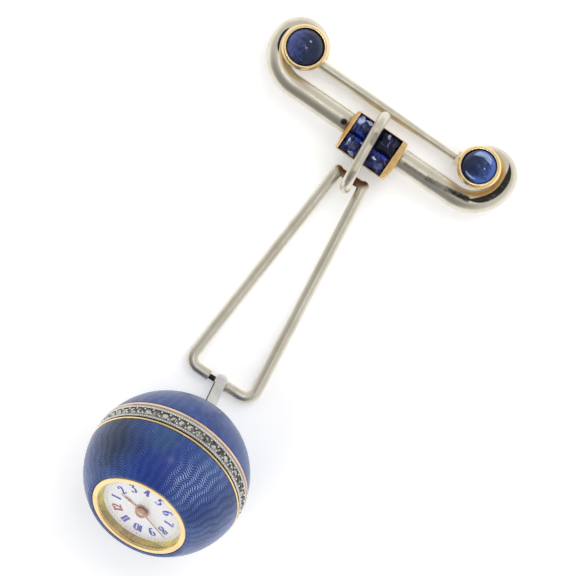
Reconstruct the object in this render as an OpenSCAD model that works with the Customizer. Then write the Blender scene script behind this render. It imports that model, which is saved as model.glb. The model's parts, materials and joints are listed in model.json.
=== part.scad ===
// Ball watch on a bar brooch, lying face up: the bar with its box and two collets, the oval loop
// round the box, the tapering wire link, and the ball watch on its flat bail. Millimetres.
// The brooch leans on the loop's back strand, the link slopes down from the loop to the floor,
// and the ball rolls until its bail holds it, so all three rests are worked out from the sizes.

/* [Brooch bar] */
// Radius of the platinum tube
tube_r = 1.17; // [1.05:0.01:1.22]
// Distance from the middle of the bar to where its straight run starts to curl
straight_half = 9.93; // [9:0.05:11]
// Centre-line radius of the wide first curl
curl_r = 3.6; // [3.5:0.05:3.8]
// Centre-line radius of the tight second curl
eye_curl_r = 1.9; // [1.85:0.05:2.1]
// Angle above the bar where the tight curl takes over from the wide one
curl_change = 5; // [0:1:10]
// Radius of the rod that carries the box between the two tubes
rod_r = 0.5; // [0.4:0.05:0.6]

/* [Box setting] */
// Width of the gold box along the bar
box_w = 6.4; // [6.1:0.05:6.8]
// Height of the box above the bar's axis, towards the pin
box_above = 1.38; // [1.35:0.01:1.5]
// Height of the box below the bar's axis, towards the watch
box_below = 3.26; // [3.2:0.01:3.6]
// Depth of the box in front of the bar's axis
box_front = 1.75; // [1.7:0.05:2]
// Depth of the box behind the bar's axis
box_back = 1.25; // [1.2:0.05:1.5]
// Bevel along the box's upper back edge, where the loop's back strand turns up
box_bevel = 0.5; // [0.4:0.05:0.6]
// Angle by which the box's lower side runs in towards its back
box_undercut = 13; // [0:1:15]
// Height of the gold collar where a tube meets the box
collar_h = 0.15; // [0.1:0.01:0.2]
// Wall of the collar round the tube's end
collar_wall = 0.06; // [0.04:0.01:0.1]
// Side of a square sapphire
square_side = 2.14; // [2.05:0.01:2.16]
// Depth of a square sapphire from table to culet
square_depth = 0.95; // [0.8:0.01:1]
// Height of a square sapphire's crown
square_crown = 0.3; // [0.2:0.01:0.4]
// Thickness of a square sapphire's girdle
square_girdle = 0.07; // [0.04:0.01:0.1]
// Half diagonal of the turned square table
square_table = 0.82; // [0.6:0.01:0.95]
// Width of the bare channel between the two columns of stones
channel_w = 0.85; // [0.7:0.01:0.95]
// Depth of the bare channel
channel_depth = 0.35; // [0.2:0.01:0.5]
// Gap between the two rows of stones
row_gap = 0.08; // [0.06:0.01:0.1]

/* [Collets] */
// Outer radius of a collet's rim
collet_r = 2.26; // [2.2:0.01:2.4]
// Radius of a collet's base
collet_base_r = 1.85; // [1.7:0.01:2]
// Height of a collet from base to rim
collet_h = 1.1; // [1:0.01:1.4]
// Depth of the stone's seat below the rim
seat_depth = 0.5; // [0.4:0.01:0.6]
// Radius of the post that stands in the eye of the curl
post_r = 0.55; // [0.45:0.01:0.56]
// Distance of the left collet from the middle of the bar
left_collet_x = 11.13; // [11:0.01:11.4]
// Distance of the left collet above the bar's axis
left_collet_y = 3.52; // [3.4:0.01:3.7]
// Radius of the left cabochon
left_stone_r = 1.94; // [1.8:0.01:1.98]
// Distance of the right collet's base from the middle of the bar
right_collet_x = 10.53; // [10.4:0.01:10.9]
// Distance of the right collet above the bar's axis
right_collet_y = 3.45; // [3.4:0.01:3.7]
// Radius of the right cabochon
right_stone_r = 1.8; // [1.7:0.01:1.9]
// Lean of the right collet towards the middle of the bar
right_lean = 7; // [0:0.5:9]
// Height of a cabochon's dome
dome_h = 1.25; // [1:0.01:1.5]

/* [Pin] */
// Distance of the pin stem above the bar's axis
pin_y = 3.57; // [3.54:0.01:3.6]
// Depth of the pin stem behind the bar's axis
pin_depth = 0.8; // [0.75:0.01:0.86]
// Radius of the pin stem over its straight run
pin_r = 0.52; // [0.45:0.01:0.53]
// Radius of the pin stem at its root, from where it tapers to the straight run
pin_root_r = 0.57; // [0.54:0.01:0.58]
// Radius of the pin stem where the point begins
pin_neck_r = 0.38; // [0.3:0.01:0.4]
// Length of the sharpened point
pin_point = 1.2; // [1:0.05:1.5]
// Distance of the pin's tip from the middle of the bar
pin_tip_x = 9.3; // [9.1:0.05:9.5]
// Place along the bar where the pin stem's straight run starts, left of the middle
root_end_x = 8.3; // [8.2:0.01:8.4]
// Place along the bar where the pin stem starts to thin, left of the middle
thin_start_x = 2; // [1.5:0.1:3]
// Width of the knuckle at the pin's root
knuckle_w = 0.7; // [0.6:0.01:0.72]
// Radius of the knuckle
knuckle_r = 0.55; // [0.5:0.01:0.58]
// Height of the hinge block's bridge over the knuckle
hinge_bridge = 0.35; // [0.3:0.01:0.4]
// Half height of the flat tongue between the knuckle and the stem
tongue_half = 0.42; // [0.35:0.01:0.44]
// Radius of the hinge rivet
rivet_r = 0.22; // [0.18:0.01:0.24]
// Thickness of each ear of the hinge
ear_t = 0.28; // [0.22:0.01:0.3]
// Half width of an ear along the bar
ear_half = 0.4; // [0.36:0.01:0.42]
// Length of the catch along the bar
catch_l = 1.25; // [1.1:0.05:1.3]
// Distance of the catch's near end from the middle of the bar
catch_x = 7.95; // [7.9:0.01:8.1]
// Thickness of each cheek of the catch
cheek_t = 0.2; // [0.16:0.01:0.22]
// Free width on each side of the pin in the catch
catch_play = 0.1; // [0.08:0.01:0.12]

/* [Oval loop] */
// Outer length of the loop
loop_l = 9.43; // [9.2:0.01:9.8]
// Radius of the loop's wire along its strands
loop_r = 0.435; // [0.4:0.005:0.46]
// Radius of the loop's wire at its two ends
loop_end_r = 0.55; // [0.5:0.01:0.57]
// Centre-line radius of the loop's corners
loop_corner = 2; // [1.95:0.01:2.1]
// Distance of the loop's middle below the bar's axis
loop_y = 1.535; // [1.5:0.005:1.6]
// Turn of the loop away from square to the bar
loop_turn = 5.2; // [3:0.1:6]

/* [Wire link] */
// Radius of the link's wire
link_r = 0.59; // [0.55:0.01:0.62]
// Length between the link's two crossbars
link_l = 24.86; // [22:0.01:27]
// Width between the legs at the top crossbar
link_top_w = 3.1; // [2.9:0.05:3.4]
// Width between the legs at the bottom crossbar
link_bottom_w = 7.76; // [7:0.01:8.4]
// Centre-line radius of the two bottom corners
link_corner = 1.2; // [1:0.05:1.5]
// Radius of the top crossbar
top_bar_r = 0.45; // [0.38:0.01:0.46]
// How far the top crossbar lies beyond the loop's corner centre
link_pull = 0.85; // [0.8:0.01:0.88]
// Sideways drift of the link as it lies
link_drift = 1.6; // [0:0.1:3]
// Size of a leg's round upper end, as a share of its wire
knuckle_swell = 1.04; // [1.02:0.01:1.08]
// Radius of the necked stretch that the bail hangs on
neck_r = 0.28; // [0.24:0.01:0.3]
// Length of neck left bare beside the bail
neck_bare = 0.7; // [0.4:0.01:0.9]

/* [Watch bail] */
// Width of the bail's flat strap
bail_w = 1.2; // [1.1:0.01:1.4]
// Distance from the crossbar to the ball's pole
bail_l = 4.76; // [4.4:0.01:5.2]
// Wall of the bail round the neck
bail_wall = 0.28; // [0.24:0.01:0.28]
// Length of the slit between the bail's two sides
bail_slit = 3.2; // [2.8:0.05:3.6]
// Place of the bail along the crossbar, right of its middle
bail_shift = 0.15; // [0:0.01:0.4]
// Lean of the bail to the right on its way down
bail_lean = 9.5; // [5:0.5:12]
// Radius of the bail's foot on the ball
foot_r = 1; // [0.8:0.05:1.1]
// Height of the bail's foot
foot_h = 0.3; // [0.2:0.01:0.4]

/* [Ball watch] */
// Radius of the ball
ball_r = 8.5; // [8.3:0.01:8.7]
// Wall of the enamelled shells
shell_wall = 0.6; // [0.5:0.01:0.7]
// Turn of the ball's axis to the right of straight down
ball_turn = 1.1; // [0:0.1:3]
// Upper edge of the diamond band, counted from the centre towards the pole
band_upper = 1.25; // [1.15:0.01:1.3]
// Lower edge of the diamond band, counted from the centre towards the dial
band_lower = 0.45; // [0.4:0.01:0.5]
// Width of the upper gold line
upper_line = 0.22; // [0.18:0.01:0.26]
// Start of the lower gold line, counted from the centre towards the dial
lower_line_start = 0.64; // [0.6:0.01:0.68]
// Width of the lower gold line
lower_line = 0.22; // [0.18:0.01:0.24]
// Thickness of the band and the gold lines, from the ball's surface inwards
band_wall = 1.1; // [1:0.01:1.2]
// Depth of the groove that holds the band's diamonds
groove_depth = 0.4; // [0.36:0.01:0.5]
// Bare edge of the band on each side of its groove
band_edge = 0.38; // [0.34:0.01:0.4]
// Number of diamonds round the band
diamond_count = 54; // [50:1:56]
// Radius of a band diamond
diamond_r = 0.39; // [0.34:0.01:0.41]
// Depth of a band diamond's pavilion as a share of its radius
pavilion_share = 0.55; // [0.4:0.01:0.6]
// Thickness of its girdle as a share of its radius
girdle_share = 0.1; // [0.05:0.01:0.15]
// Height of its crown as a share of its radius
crown_share = 0.3; // [0.2:0.01:0.35]
// Radius of its table as a share of its own
table_share = 0.6; // [0.5:0.01:0.7]

/* [Bezel and dial] */
// Width of the lower shell's edge round the bezel
shell_rim = 0.367; // [0.3:0.001:0.42]
// Outer radius of the bezel
bezel_r = 5.3; // [5.2:0.01:5.35]
// Width of the bezel's rim
bezel_rim = 0.6; // [0.5:0.01:0.7]
// Depth of the bezel
bezel_depth = 1.4; // [1.3:0.01:1.45]
// Thickness of the collar that the lower shell turns in round the bezel
shell_lip = 0.87; // [0.7:0.01:0.9]
// Depth of the dial's face below the bezel's face
dial_recess = 0.89; // [0.85:0.01:0.95]
// Thickness of the enamel dial
dial_t = 0.3; // [0.25:0.01:0.35]
// Thickness of the glass at its edge
crystal_edge = 0.2; // [0.15:0.01:0.24]
// Rise of the glass's dome
crystal_rise = 0.25; // [0.15:0.01:0.3]
// Depth of the glass's edge below the bezel's face
crystal_set = 0.08; // [0.05:0.01:0.1]

/* [Hands] */
// Length of the minute hand
minute_l = 3.7; // [3.4:0.05:4]
// Length of the hour hand
hour_l = 2.75; // [2.4:0.05:3]
// Width of a hand where it leaves its hub
hand_root_w = 0.2; // [0.16:0.01:0.26]
// Width of a hand at its tip
hand_tip_w = 0.07; // [0.05:0.01:0.1]
// Radius of the hour hand's large lobe
lobe_r = 0.2; // [0.15:0.01:0.25]
// Place of the large lobe as a share of the hour hand's length
lobe_place = 0.62; // [0.5:0.01:0.68]
// Radius of the hour hand's small lobe
small_lobe_r = 0.14; // [0.1:0.01:0.18]
// Place of the small lobe as a share of the hour hand's length
small_lobe_place = 0.76; // [0.7:0.01:0.85]
// Thickness of a hand
hand_t = 0.08; // [0.06:0.01:0.09]
// Height of the hour hand over the dial
hour_lift = 0.08; // [0.06:0.01:0.09]
// Height of the minute hand over the dial
minute_lift = 0.25; // [0.23:0.01:0.26]
// Angle of the minute hand on the dial
minute_angle = 335; // [0:1:359]
// Angle of the hour hand on the dial
hour_angle = 169; // [0:1:359]
// Radius of the hour hand's hub
hour_hub_r = 0.78; // [0.6:0.01:0.85]
// Radius of the knob on the minute hand
knob_r = 0.62; // [0.45:0.01:0.66]
// Height of the knob above the minute hand
knob_h = 0.16; // [0.1:0.01:0.18]
// Radius of the centre post
post_pin_r = 0.16; // [0.12:0.01:0.18]

/* [Movement] */
// Room between the drum's back edge and the shell round it
drum_room = 0.87; // [0.7:0.01:1.2]
// Room between the drum's back and the ball's pole
drum_end_room = 3.7; // [3.5:0.05:4]
// Thickness of the flange that the band holds
flange_t = 0.8; // [0.6:0.05:1]
// Radius of the drum's neck under the dial
drum_neck_r = 4.5; // [4.3:0.05:4.6]

/* [Hidden] */
$fn = 64;
// Gap between neighbouring pieces
gap = 0.03;
// Running clearance between pieces that turn on each other
play = 0.05;
// Overshoot of a cutting shape
past = 1;

// The tight curl's centre in the brooch's own plane, for the right-hand end
eye_x = straight_half + (curl_r - eye_curl_r) * cos(curl_change);
eye_y = curl_r + (curl_r - eye_curl_r) * sin(curl_change);
// Height in the brooch's plane where the curl is cut off beside the pin stem
curl_cut = pin_y + pin_root_r + 3 * gap;

// The brooch leans on the loop's back strand and on the far edges of its curls
far_y = eye_y + eye_curl_r;
rest_y = box_above - box_bevel;
strand_top = 2 * loop_r + gap;
lean_sum = norm([box_back, far_y - rest_y]);
lean_start = atan2(far_y - rest_y, box_back);
brooch_tilt = acos((tube_r - strand_top) / lean_sum) - lean_start;
bar_z = strand_top + rest_y * sin(brooch_tilt) + box_back * cos(brooch_tilt);

// The loop stands on its back strand and clears the box's highest front edge
box_top_z = bar_z + box_below * sin(brooch_tilt) + box_front * cos(brooch_tilt);
loop_h = box_top_z + gap + 2 * loop_r;
loop_half = loop_l / 2 - loop_end_r;
loop_straight = loop_half - loop_corner;
loop_rise = loop_h / 2 - loop_r - loop_corner;

// The link's top crossbar rests inside the loop's lower corner, and its bottom one on the floor
link_seat = loop_corner - loop_end_r - top_bar_r - gap;
link_top_z = loop_r + loop_corner - sqrt(link_seat * link_seat - link_pull * link_pull);
link_reach = loop_straight + link_pull;
link_top_x = link_reach * sin(loop_turn);
link_top_y = -loop_y - link_reach * cos(loop_turn);
link_slope = asin((link_top_z - link_r) / link_l);
link_bottom_x = link_top_x + link_l * cos(link_slope) * sin(link_drift);
link_bottom_y = link_top_y - link_l * cos(link_slope) * cos(link_drift);
leg_lean = atan2((link_bottom_w - link_top_w) / 2, link_l);

// The ball rests on the floor and on its bail, whose far end hooks the link's neck
ball_tilt = asin((ball_r - link_r) / (ball_r + bail_l));
hook = [link_bottom_x + bail_shift * cos(link_drift), link_bottom_y + bail_shift * sin(link_drift), link_r];
pole = hook + bail_l * slant(bail_lean);
ball_centre = pole + ball_r * slant(ball_turn);
bail_in_r = neck_r + gap;
bail_out_r = bail_in_r + bail_wall;

// The opening in the lower shell cuts the sphere where the bezel sits
shell_front_r = bezel_r + play + shell_rim;
shell_front = sqrt(ball_r * ball_r - shell_front_r * shell_front_r);
bezel_front = shell_front + gap;
down_part = cos(ball_tilt) * cos(ball_turn);
ball_reach = shell_front * down_part + shell_front_r * sqrt(1 - down_part * down_part);

// The origin is under the middle of the whole, on the floor
reach_up = far_y * cos(brooch_tilt) + tube_r;
reach_down = ball_reach - ball_centre[1];
bar_y = (reach_down - reach_up) / 2;

// Depths inside the ball, counted from its centre towards the dial
dial_front = bezel_front - dial_recess;
bezel_back = bezel_front - bezel_depth;
bezel_in_r = bezel_r - bezel_rim;
drum_front = dial_front - dial_t - gap;

// The movement's drum and the hollow of the band that holds it
band_inner_r = ball_r - band_wall;
drum_back = ball_r - drum_end_room;
drum_r = sqrt(pow(ball_r - shell_wall, 2) - drum_back * drum_back) - drum_room;

// A unit vector that points down the picture and up off the floor, as the ball's axis does
function slant(turn) = [
    cos(ball_tilt) * sin(turn),
    -cos(ball_tilt) * cos(turn),
    sin(ball_tilt)
];

module in_brooch() {
    translate([0, bar_y, bar_z])
        rotate([-brooch_tilt, 0, 0])
            children();
}

module in_loop() {
    translate([0, bar_y - loop_y, loop_h / 2])
        rotate([0, 0, loop_turn])
            children();
}

module in_link() {
    translate([link_bottom_x, bar_y + link_bottom_y, link_r])
        rotate([0, 0, link_drift])
            rotate([link_slope, 0, 0])
                children();
}

module in_bail() {
    translate([hook[0], bar_y + hook[1], hook[2]])
        rotate([0, 0, bail_lean])
            rotate([90 - ball_tilt, 0, 0])
                children();
}

module in_ball() {
    translate([ball_centre[0], bar_y + ball_centre[1], ball_centre[2]])
        rotate([0, 0, ball_turn])
            rotate([90 - ball_tilt, 0, 0])
                children();
}

// A round bar along X from one place to another
module along_x(r, from, to) {
    translate([from, 0, 0])
        rotate([0, 90, 0])
            cylinder(r = r, h = to - from);
}

// A round bar along Y, centred on its place
module along_y(r, length) {
    rotate([90, 0, 0])
        cylinder(r = r, h = length, center = true);
}

// A piece of a torus in the XY plane, from one angle through a sweep
module bend(ring_r, wire_r, start, sweep) {
    rotate([0, 0, start])
        rotate_extrude(angle = sweep)
            translate([ring_r, 0])
                circle(r = wire_r);
}

// What lies between two depths along the ball's axis
module slab(from, to) {
    translate([0, 0, from])
        cylinder(r = ball_r + past, h = to - from);
}

// A disc of the ball's axis between two depths
module disc(r, from, to) {
    translate([0, 0, from])
        cylinder(r = r, h = to - from);
}

// Faces of a tube between rings of points, open-ended with flat caps or closed on itself
function tube_faces(count, sides, closed) = concat(
    [
        for (ring = [0 : count - (closed ? 1 : 2)], side = [0 : sides - 1])
            let (
                next_ring = (ring + 1) % count,
                next_side = (side + 1) % sides
            )
                [
                    ring * sides + side,
                    ring * sides + next_side,
                    next_ring * sides + next_side,
                    next_ring * sides + side
                ]
    ],
    closed ? [] : [
        [for (side = [0 : sides - 1]) sides - 1 - side],
        [for (side = [0 : sides - 1]) (count - 1) * sides + side]
    ]
);

bar_sides = 24;
curl_steps = 12;
eye_steps = 20;
tube_start = box_w / 2 + collar_h + gap;

// A ring round the bar's straight run
function straight_ring(along, r) = [
    for (side = [0 : bar_sides - 1])
        let (turn = side * 360 / bar_sides)
            [along, -r * cos(turn), r * sin(turn)]
];

// A ring of the wide curl, at an angle round its centre
function curl_ring(angle) = [
    for (side = [0 : bar_sides - 1])
        let (
            turn = side * 360 / bar_sides,
            reach = curl_r + tube_r * cos(turn)
        )
            [straight_half + reach * cos(angle), curl_r + reach * sin(angle), tube_r * sin(turn)]
];

// A ring of the tight curl, its last one flat beside the pin stem
function eye_ring(share) = [
    for (side = [0 : bar_sides - 1])
        let (
            turn = side * 360 / bar_sides,
            reach = eye_curl_r + tube_r * cos(turn),
            end = 180 - asin((curl_cut - eye_y) / reach),
            angle = curl_change + share * (end - curl_change)
        )
            [eye_x + reach * cos(angle), eye_y + reach * sin(angle), tube_r * sin(turn)]
];

// The right half's rings from the rod outwards
half_bar_rings = concat(
    [straight_ring(tube_start, rod_r), straight_ring(tube_start, tube_r)],
    [for (step = [0 : curl_steps]) curl_ring(-90 + step * (90 + curl_change) / curl_steps)],
    [for (step = [1 : eye_steps]) eye_ring(step / eye_steps)]
);

module bar() {
    last = len(half_bar_rings) - 1;
    left_rings = [
        for (index = [last : -1 : 0])
            [for (point = half_bar_rings[index]) [-point[0], point[1], point[2]]]
    ];
    rings = concat(left_rings, half_bar_rings);
    points = [for (ring = rings, point = ring) point];
    color("gainsboro")
        in_brooch()
            polyhedron(points, tube_faces(len(rings), bar_sides, false));
}

// Middle of the box's height, and the places of its four stones
box_mid_y = (box_above - box_below) / 2;
stone_x = (channel_w + square_side) / 2;
stone_y = (row_gap + square_side) / 2;
square_places = [
    [-stone_x, box_mid_y + stone_y],
    [stone_x, box_mid_y + stone_y],
    [-stone_x, box_mid_y - stone_y],
    [stone_x, box_mid_y - stone_y]
];

module box_setting() {
    height = box_above + box_below;
    pit = square_side + 2 * gap;
    color("goldenrod")
        in_brooch()
            difference() {
                union() {
                    translate([-box_w / 2, -box_below, -box_back])
                        cube([box_w, height, box_back + box_front]);
                    along_x(tube_r + collar_wall, -box_w / 2 - collar_h, box_w / 2 + collar_h);
                }
                along_x(rod_r + gap, -box_w, box_w);
                translate([-channel_w / 2, -box_below - past, box_front - channel_depth])
                    cube([channel_w, height + 2 * past, past]);
                for (place = square_places)
                    translate([place[0] - pit / 2, place[1] - pit / 2, box_front - square_depth - gap])
                        cube([pit, pit, square_depth + past]);
                translate([-box_w, -box_below, box_front])
                    rotate([box_undercut, 0, 0])
                        translate([0, -height, -2 * height])
                            cube([2 * box_w, height, 2 * height]);
                translate([0, box_above, -box_back])
                    rotate([45, 0, 0])
                        cube([box_w + past, sqrt(2) * box_bevel, sqrt(2) * box_bevel], center = true);
            }
}

// A square stone with a turned square table, eight crown facets and eight pavilion facets
module square_stone() {
    half = square_side / 2;
    hull() {
        rotate([0, 0, 45])
            translate([-square_table / sqrt(2), -square_table / sqrt(2), -square_crown])
                cube([sqrt(2) * square_table, sqrt(2) * square_table, square_crown]);
        translate([-half, -half, -square_crown - square_girdle])
            cube([square_side, square_side, square_girdle]);
    }
    hull() {
        translate([-half, -half, -square_crown - square_girdle])
            cube([square_side, square_side, square_girdle / 2]);
        rotate([0, 0, 45])
            translate([0, 0, -(square_depth + square_crown) / 2])
                cube([square_table, square_table, gap], center = true);
        translate([0, 0, -square_depth + gap / 2])
            cube([gap, gap, gap], center = true);
    }
}

module square_sapphire(index) {
    place = square_places[index];
    color("midnightblue")
        in_brooch()
            translate([place[0], place[1], box_front])
                square_stone();
}

// Height of a collet's base over the brooch's plane, raised by what the lean would sink
function base_z(lean) = tube_r + gap + collet_base_r * sin(lean);

// The collet's cup, with its post down in the eye of the curl
module collet(side, place, stone_r, lean) {
    base = base_z(lean);
    post_foot = pin_hinge_top + gap;
    color("gold")
        in_brooch() {
            translate([side * place[0], place[1], base])
                rotate([0, -side * lean, 0])
                    difference() {
                        cylinder(r1 = collet_base_r, r2 = collet_r, h = collet_h);
                        translate([0, 0, collet_h - seat_depth])
                            cylinder(r = stone_r + gap, h = seat_depth + past);
                    }
            translate([side * eye_x, eye_y, post_foot])
                cylinder(r = post_r, h = base + (collet_h - seat_depth) / 2 - post_foot);
        }
}

// A round dome of a given foot radius, cut from a sphere
module cabochon(side, place, stone_r, lean) {
    sphere_r = (stone_r * stone_r + dome_h * dome_h) / (2 * dome_h);
    color("navy")
        in_brooch()
            translate([side * place[0], place[1], base_z(lean)])
                rotate([0, -side * lean, 0])
                    translate([0, 0, collet_h - seat_depth + gap])
                        union() {
                            cylinder(r = stone_r, h = seat_depth / 2);
                            translate([0, 0, seat_depth / 2])
                                intersection() {
                                    translate([0, 0, dome_h - sphere_r])
                                        sphere(r = sphere_r);
                                    cylinder(r = stone_r, h = dome_h + past);
                                }
                        }
}

// Top of the pin's hinge block in the brooch's plane, and half the width of its slot
pin_hinge_top = -pin_depth + knuckle_r + play + hinge_bridge;
slot_half = knuckle_w / 2 + play;

module pin_stem() {
    root_start = -eye_x + knuckle_r;
    point_start = pin_tip_x - pin_point;
    color("silver")
        in_brooch()
            translate([0, pin_y, -pin_depth])
                difference() {
                    union() {
                        translate([-eye_x, 0, 0])
                            along_y(knuckle_r, knuckle_w);
                        translate([-eye_x, -knuckle_w / 2, -tongue_half])
                            cube([knuckle_r + past, knuckle_w, 2 * tongue_half]);
                        translate([root_start, 0, 0])
                            rotate([0, 90, 0])
                                cylinder(r1 = pin_root_r, r2 = pin_r, h = -root_end_x - root_start);
                        along_x(pin_r, -root_end_x, -thin_start_x);
                        translate([-thin_start_x, 0, 0])
                            rotate([0, 90, 0])
                                cylinder(r1 = pin_r, r2 = pin_neck_r, h = point_start + thin_start_x);
                        translate([point_start, 0, 0])
                            rotate([0, 90, 0])
                                cylinder(r1 = pin_neck_r, r2 = gap, h = pin_point);
                    }
                    translate([-eye_x, 0, 0])
                        along_y(rivet_r + gap, knuckle_w + past);
                }
}

// A forked block under the left post, with the rivet that the pin turns on
module pin_hinge() {
    half = slot_half + ear_t;
    ear_foot = -pin_depth - ear_half;
    color("silver")
        in_brooch()
            translate([-eye_x, pin_y, 0])
                union() {
                    difference() {
                        translate([-ear_half, -half, ear_foot])
                            cube([2 * ear_half, 2 * half, pin_hinge_top - ear_foot]);
                        translate([-past, -slot_half, ear_foot - past])
                            cube([2 * past, 2 * slot_half, past - ear_foot - pin_depth + knuckle_r + play]);
                    }
                    translate([0, 0, -pin_depth])
                        along_y(rivet_r, 2 * half);
                }
}

// A U-shaped clip at the right curl's end, open to the back for the pin to snap into
module pin_catch() {
    slot = pin_neck_r + catch_play;
    half = slot + cheek_t;
    top = pin_hinge_top;
    foot = -pin_depth - pin_neck_r;
    color("silver")
        in_brooch()
            translate([catch_x, pin_y, 0])
                difference() {
                    translate([0, -half, foot])
                        cube([catch_l, half + curl_cut - gap - pin_y, top - foot]);
                    translate([-past, -slot, foot - past])
                        cube([catch_l + 2 * past, 2 * slot, past + 2 * pin_neck_r + catch_play]);
                }
}

// Rings of the oval loop: place along the loop, height and direction out of the loop
corner_steps = 10;
strand_steps = 6;
loop_sides = 16;

function corner_ring(index, along, rise) = [
    for (step = [0 : corner_steps])
        let (angle = index * 90 + step * 90 / corner_steps)
            [along + loop_corner * cos(angle), rise + loop_corner * sin(angle), angle]
];

function strand_ring(rise, from, to, angle) = [
    for (step = [1 : strand_steps - 1])
        [from + (to - from) * step / strand_steps, rise, angle]
];

loop_rings = concat(
    corner_ring(0, loop_straight, loop_rise),
    strand_ring(loop_h / 2 - loop_r, loop_straight, -loop_straight, 90),
    corner_ring(1, -loop_straight, loop_rise),
    corner_ring(2, -loop_straight, -loop_rise),
    strand_ring(loop_r - loop_h / 2, -loop_straight, loop_straight, 270),
    corner_ring(3, loop_straight, -loop_rise)
);

// The wire swells from its strands to its two ends
function wire_r(along) = loop_r + (loop_end_r - loop_r) * pow(abs(along) / loop_half, 4);

module oval_loop() {
    points = [
        for (ring = loop_rings, side = [0 : loop_sides - 1])
            let (
                turn = side * 360 / loop_sides,
                out = wire_r(ring[0]) * cos(turn),
                across = wire_r(ring[0]) * sin(turn)
            )
                [across, ring[0] + out * cos(ring[2]), ring[1] + out * sin(ring[2])]
    ];
    color("lightgray")
        in_loop()
            polyhedron(points, tube_faces(len(loop_rings), loop_sides, true));
}

// One leg of the link with its bottom corner and its half of the bottom crossbar
module link_side(side) {
    corner_sweep = 90 - leg_lean;
    corner_x = link_bottom_w / 2 - link_corner * tan(corner_sweep / 2);
    leg_cut = link_corner * tan(corner_sweep / 2);
    leg_length = norm([(link_bottom_w - link_top_w) / 2, link_l]);
    mirror([side < 0 ? 1 : 0, 0, 0]) {
        translate([corner_x, link_corner, 0])
            bend(link_corner, link_r, -90, corner_sweep);
        translate([link_bottom_w / 2, 0, 0])
            rotate([0, 0, leg_lean])
                rotate([-90, 0, 0])
                    translate([0, 0, leg_cut])
                        cylinder(r = link_r, h = leg_length - leg_cut);
        translate([link_top_w / 2, link_l, 0])
            sphere(r = knuckle_swell * link_r);
    }
}

module trapezoid_link() {
    neck_from = bail_shift - bail_w / 2 - neck_bare;
    neck_to = bail_shift + bail_w / 2 + gap;
    run = link_bottom_w / 2 - link_corner * tan((90 - leg_lean) / 2);
    color("lightgray")
        in_link() {
            link_side(-1);
            link_side(1);
            along_x(link_r, -run, neck_from);
            along_x(neck_r, neck_from, neck_to);
            along_x(link_r, neck_to, run);
            translate([0, link_l, 0])
                along_x(top_bar_r, -link_top_w / 2, link_top_w / 2);
        }
}

module watch_bail() {
    color("whitesmoke")
        difference() {
            union() {
                in_bail()
                    intersection() {
                        rotate([90, 0, 90])
                            linear_extrude(bail_w, center = true)
                                difference() {
                                    union() {
                                        circle(r = bail_out_r);
                                        translate([-bail_out_r, 0])
                                            square([2 * bail_out_r, bail_l + past]);
                                    }
                                    circle(r = bail_in_r);
                                    translate([-bail_in_r, 0])
                                        square([2 * bail_in_r, bail_slit]);
                                }
                        translate([0, past, 0])
                            rotate([90, 0, 0])
                                linear_extrude(2 * past)
                                    union() {
                                        translate([0, bail_w / 2 - bail_out_r])
                                            circle(r = bail_w / 2);
                                        translate([-bail_w / 2, bail_w / 2 - bail_out_r])
                                            square([bail_w, bail_l + past]);
                                    }
                    }
                in_ball()
                    disc(foot_r, -ball_r - foot_h, -ball_r + foot_h);
            }
            in_ball()
                sphere(r = ball_r + gap);
        }
}

// A hollow cap or zone of the ball between two depths
module shell_zone(from, to) {
    intersection() {
        sphere(r = ball_r);
        slab(from, to);
    }
}

module upper_shell() {
    edge = -band_upper - gap - upper_line - gap;
    color("royalblue")
        in_ball()
            difference() {
                shell_zone(-ball_r - past, edge);
                sphere(r = ball_r - shell_wall);
            }
}

module gold_line(from, to) {
    color("gold")
        in_ball()
            difference() {
                shell_zone(from, to);
                disc(band_inner_r, from - past, to + past);
            }
}

module upper_gold_line() {
    gold_line(-band_upper - gap - upper_line, -band_upper - gap);
}

module lower_gold_line() {
    gold_line(lower_line_start, lower_line_start + lower_line);
}

module diamond_band() {
    color("silver")
        in_ball()
            difference() {
                shell_zone(-band_upper, band_lower);
                disc(band_inner_r, -band_upper - past, band_lower + past);
                difference() {
                    slab(band_edge - band_upper, band_lower - band_edge);
                    sphere(r = ball_r - groove_depth);
                }
            }
}

// A small eight-sided stone, its table a little over the ball's surface
module band_diamond() {
    pavilion = pavilion_share * diamond_r;
    girdle = girdle_share * diamond_r;
    cylinder(r1 = gap, r2 = diamond_r, h = pavilion, $fn = 8);
    translate([0, 0, pavilion])
        cylinder(r = diamond_r, h = girdle, $fn = 8);
    translate([0, 0, pavilion + girdle])
        cylinder(r1 = diamond_r, r2 = table_share * diamond_r, h = crown_share * diamond_r, $fn = 8);
}

module band_diamonds() {
    middle = (band_lower - band_upper) / 2;
    foot = sqrt(ball_r * ball_r - middle * middle) - groove_depth + 2 * gap;
    color("white")
        in_ball()
            for (index = [0 : diamond_count - 1])
                rotate([0, 0, index * 360 / diamond_count])
                    translate([foot, 0, middle])
                        rotate([0, 90, 0])
                            band_diamond();
}

module lower_shell() {
    start = lower_line_start + lower_line + gap;
    hole_r = bezel_r + play;
    color("royalblue")
        in_ball()
            difference() {
                shell_zone(start, shell_front);
                difference() {
                    sphere(r = ball_r - shell_wall);
                    slab(shell_front - shell_lip, ball_r + past);
                }
                disc(hole_r, start - past, ball_r + past);
            }
}

// The ring round the dial, its inner wall polished down to the dial's edge
module bezel() {
    color("gold")
        in_ball()
            difference() {
                disc(bezel_r, bezel_back, bezel_front);
                disc(bezel_in_r, bezel_back - past, bezel_front + past);
            }
}

module crystal() {
    top = bezel_front - crystal_set + crystal_rise;
    glass_r = bezel_in_r - gap;
    dome_r = (glass_r * glass_r + crystal_rise * crystal_rise) / (2 * crystal_rise);
    color("white", 0.3)
        in_ball()
            intersection() {
                disc(glass_r, top - crystal_rise - crystal_edge, top + past);
                translate([0, 0, top - dome_r])
                    sphere(r = dome_r, $fn = 400);
            }
}

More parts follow.
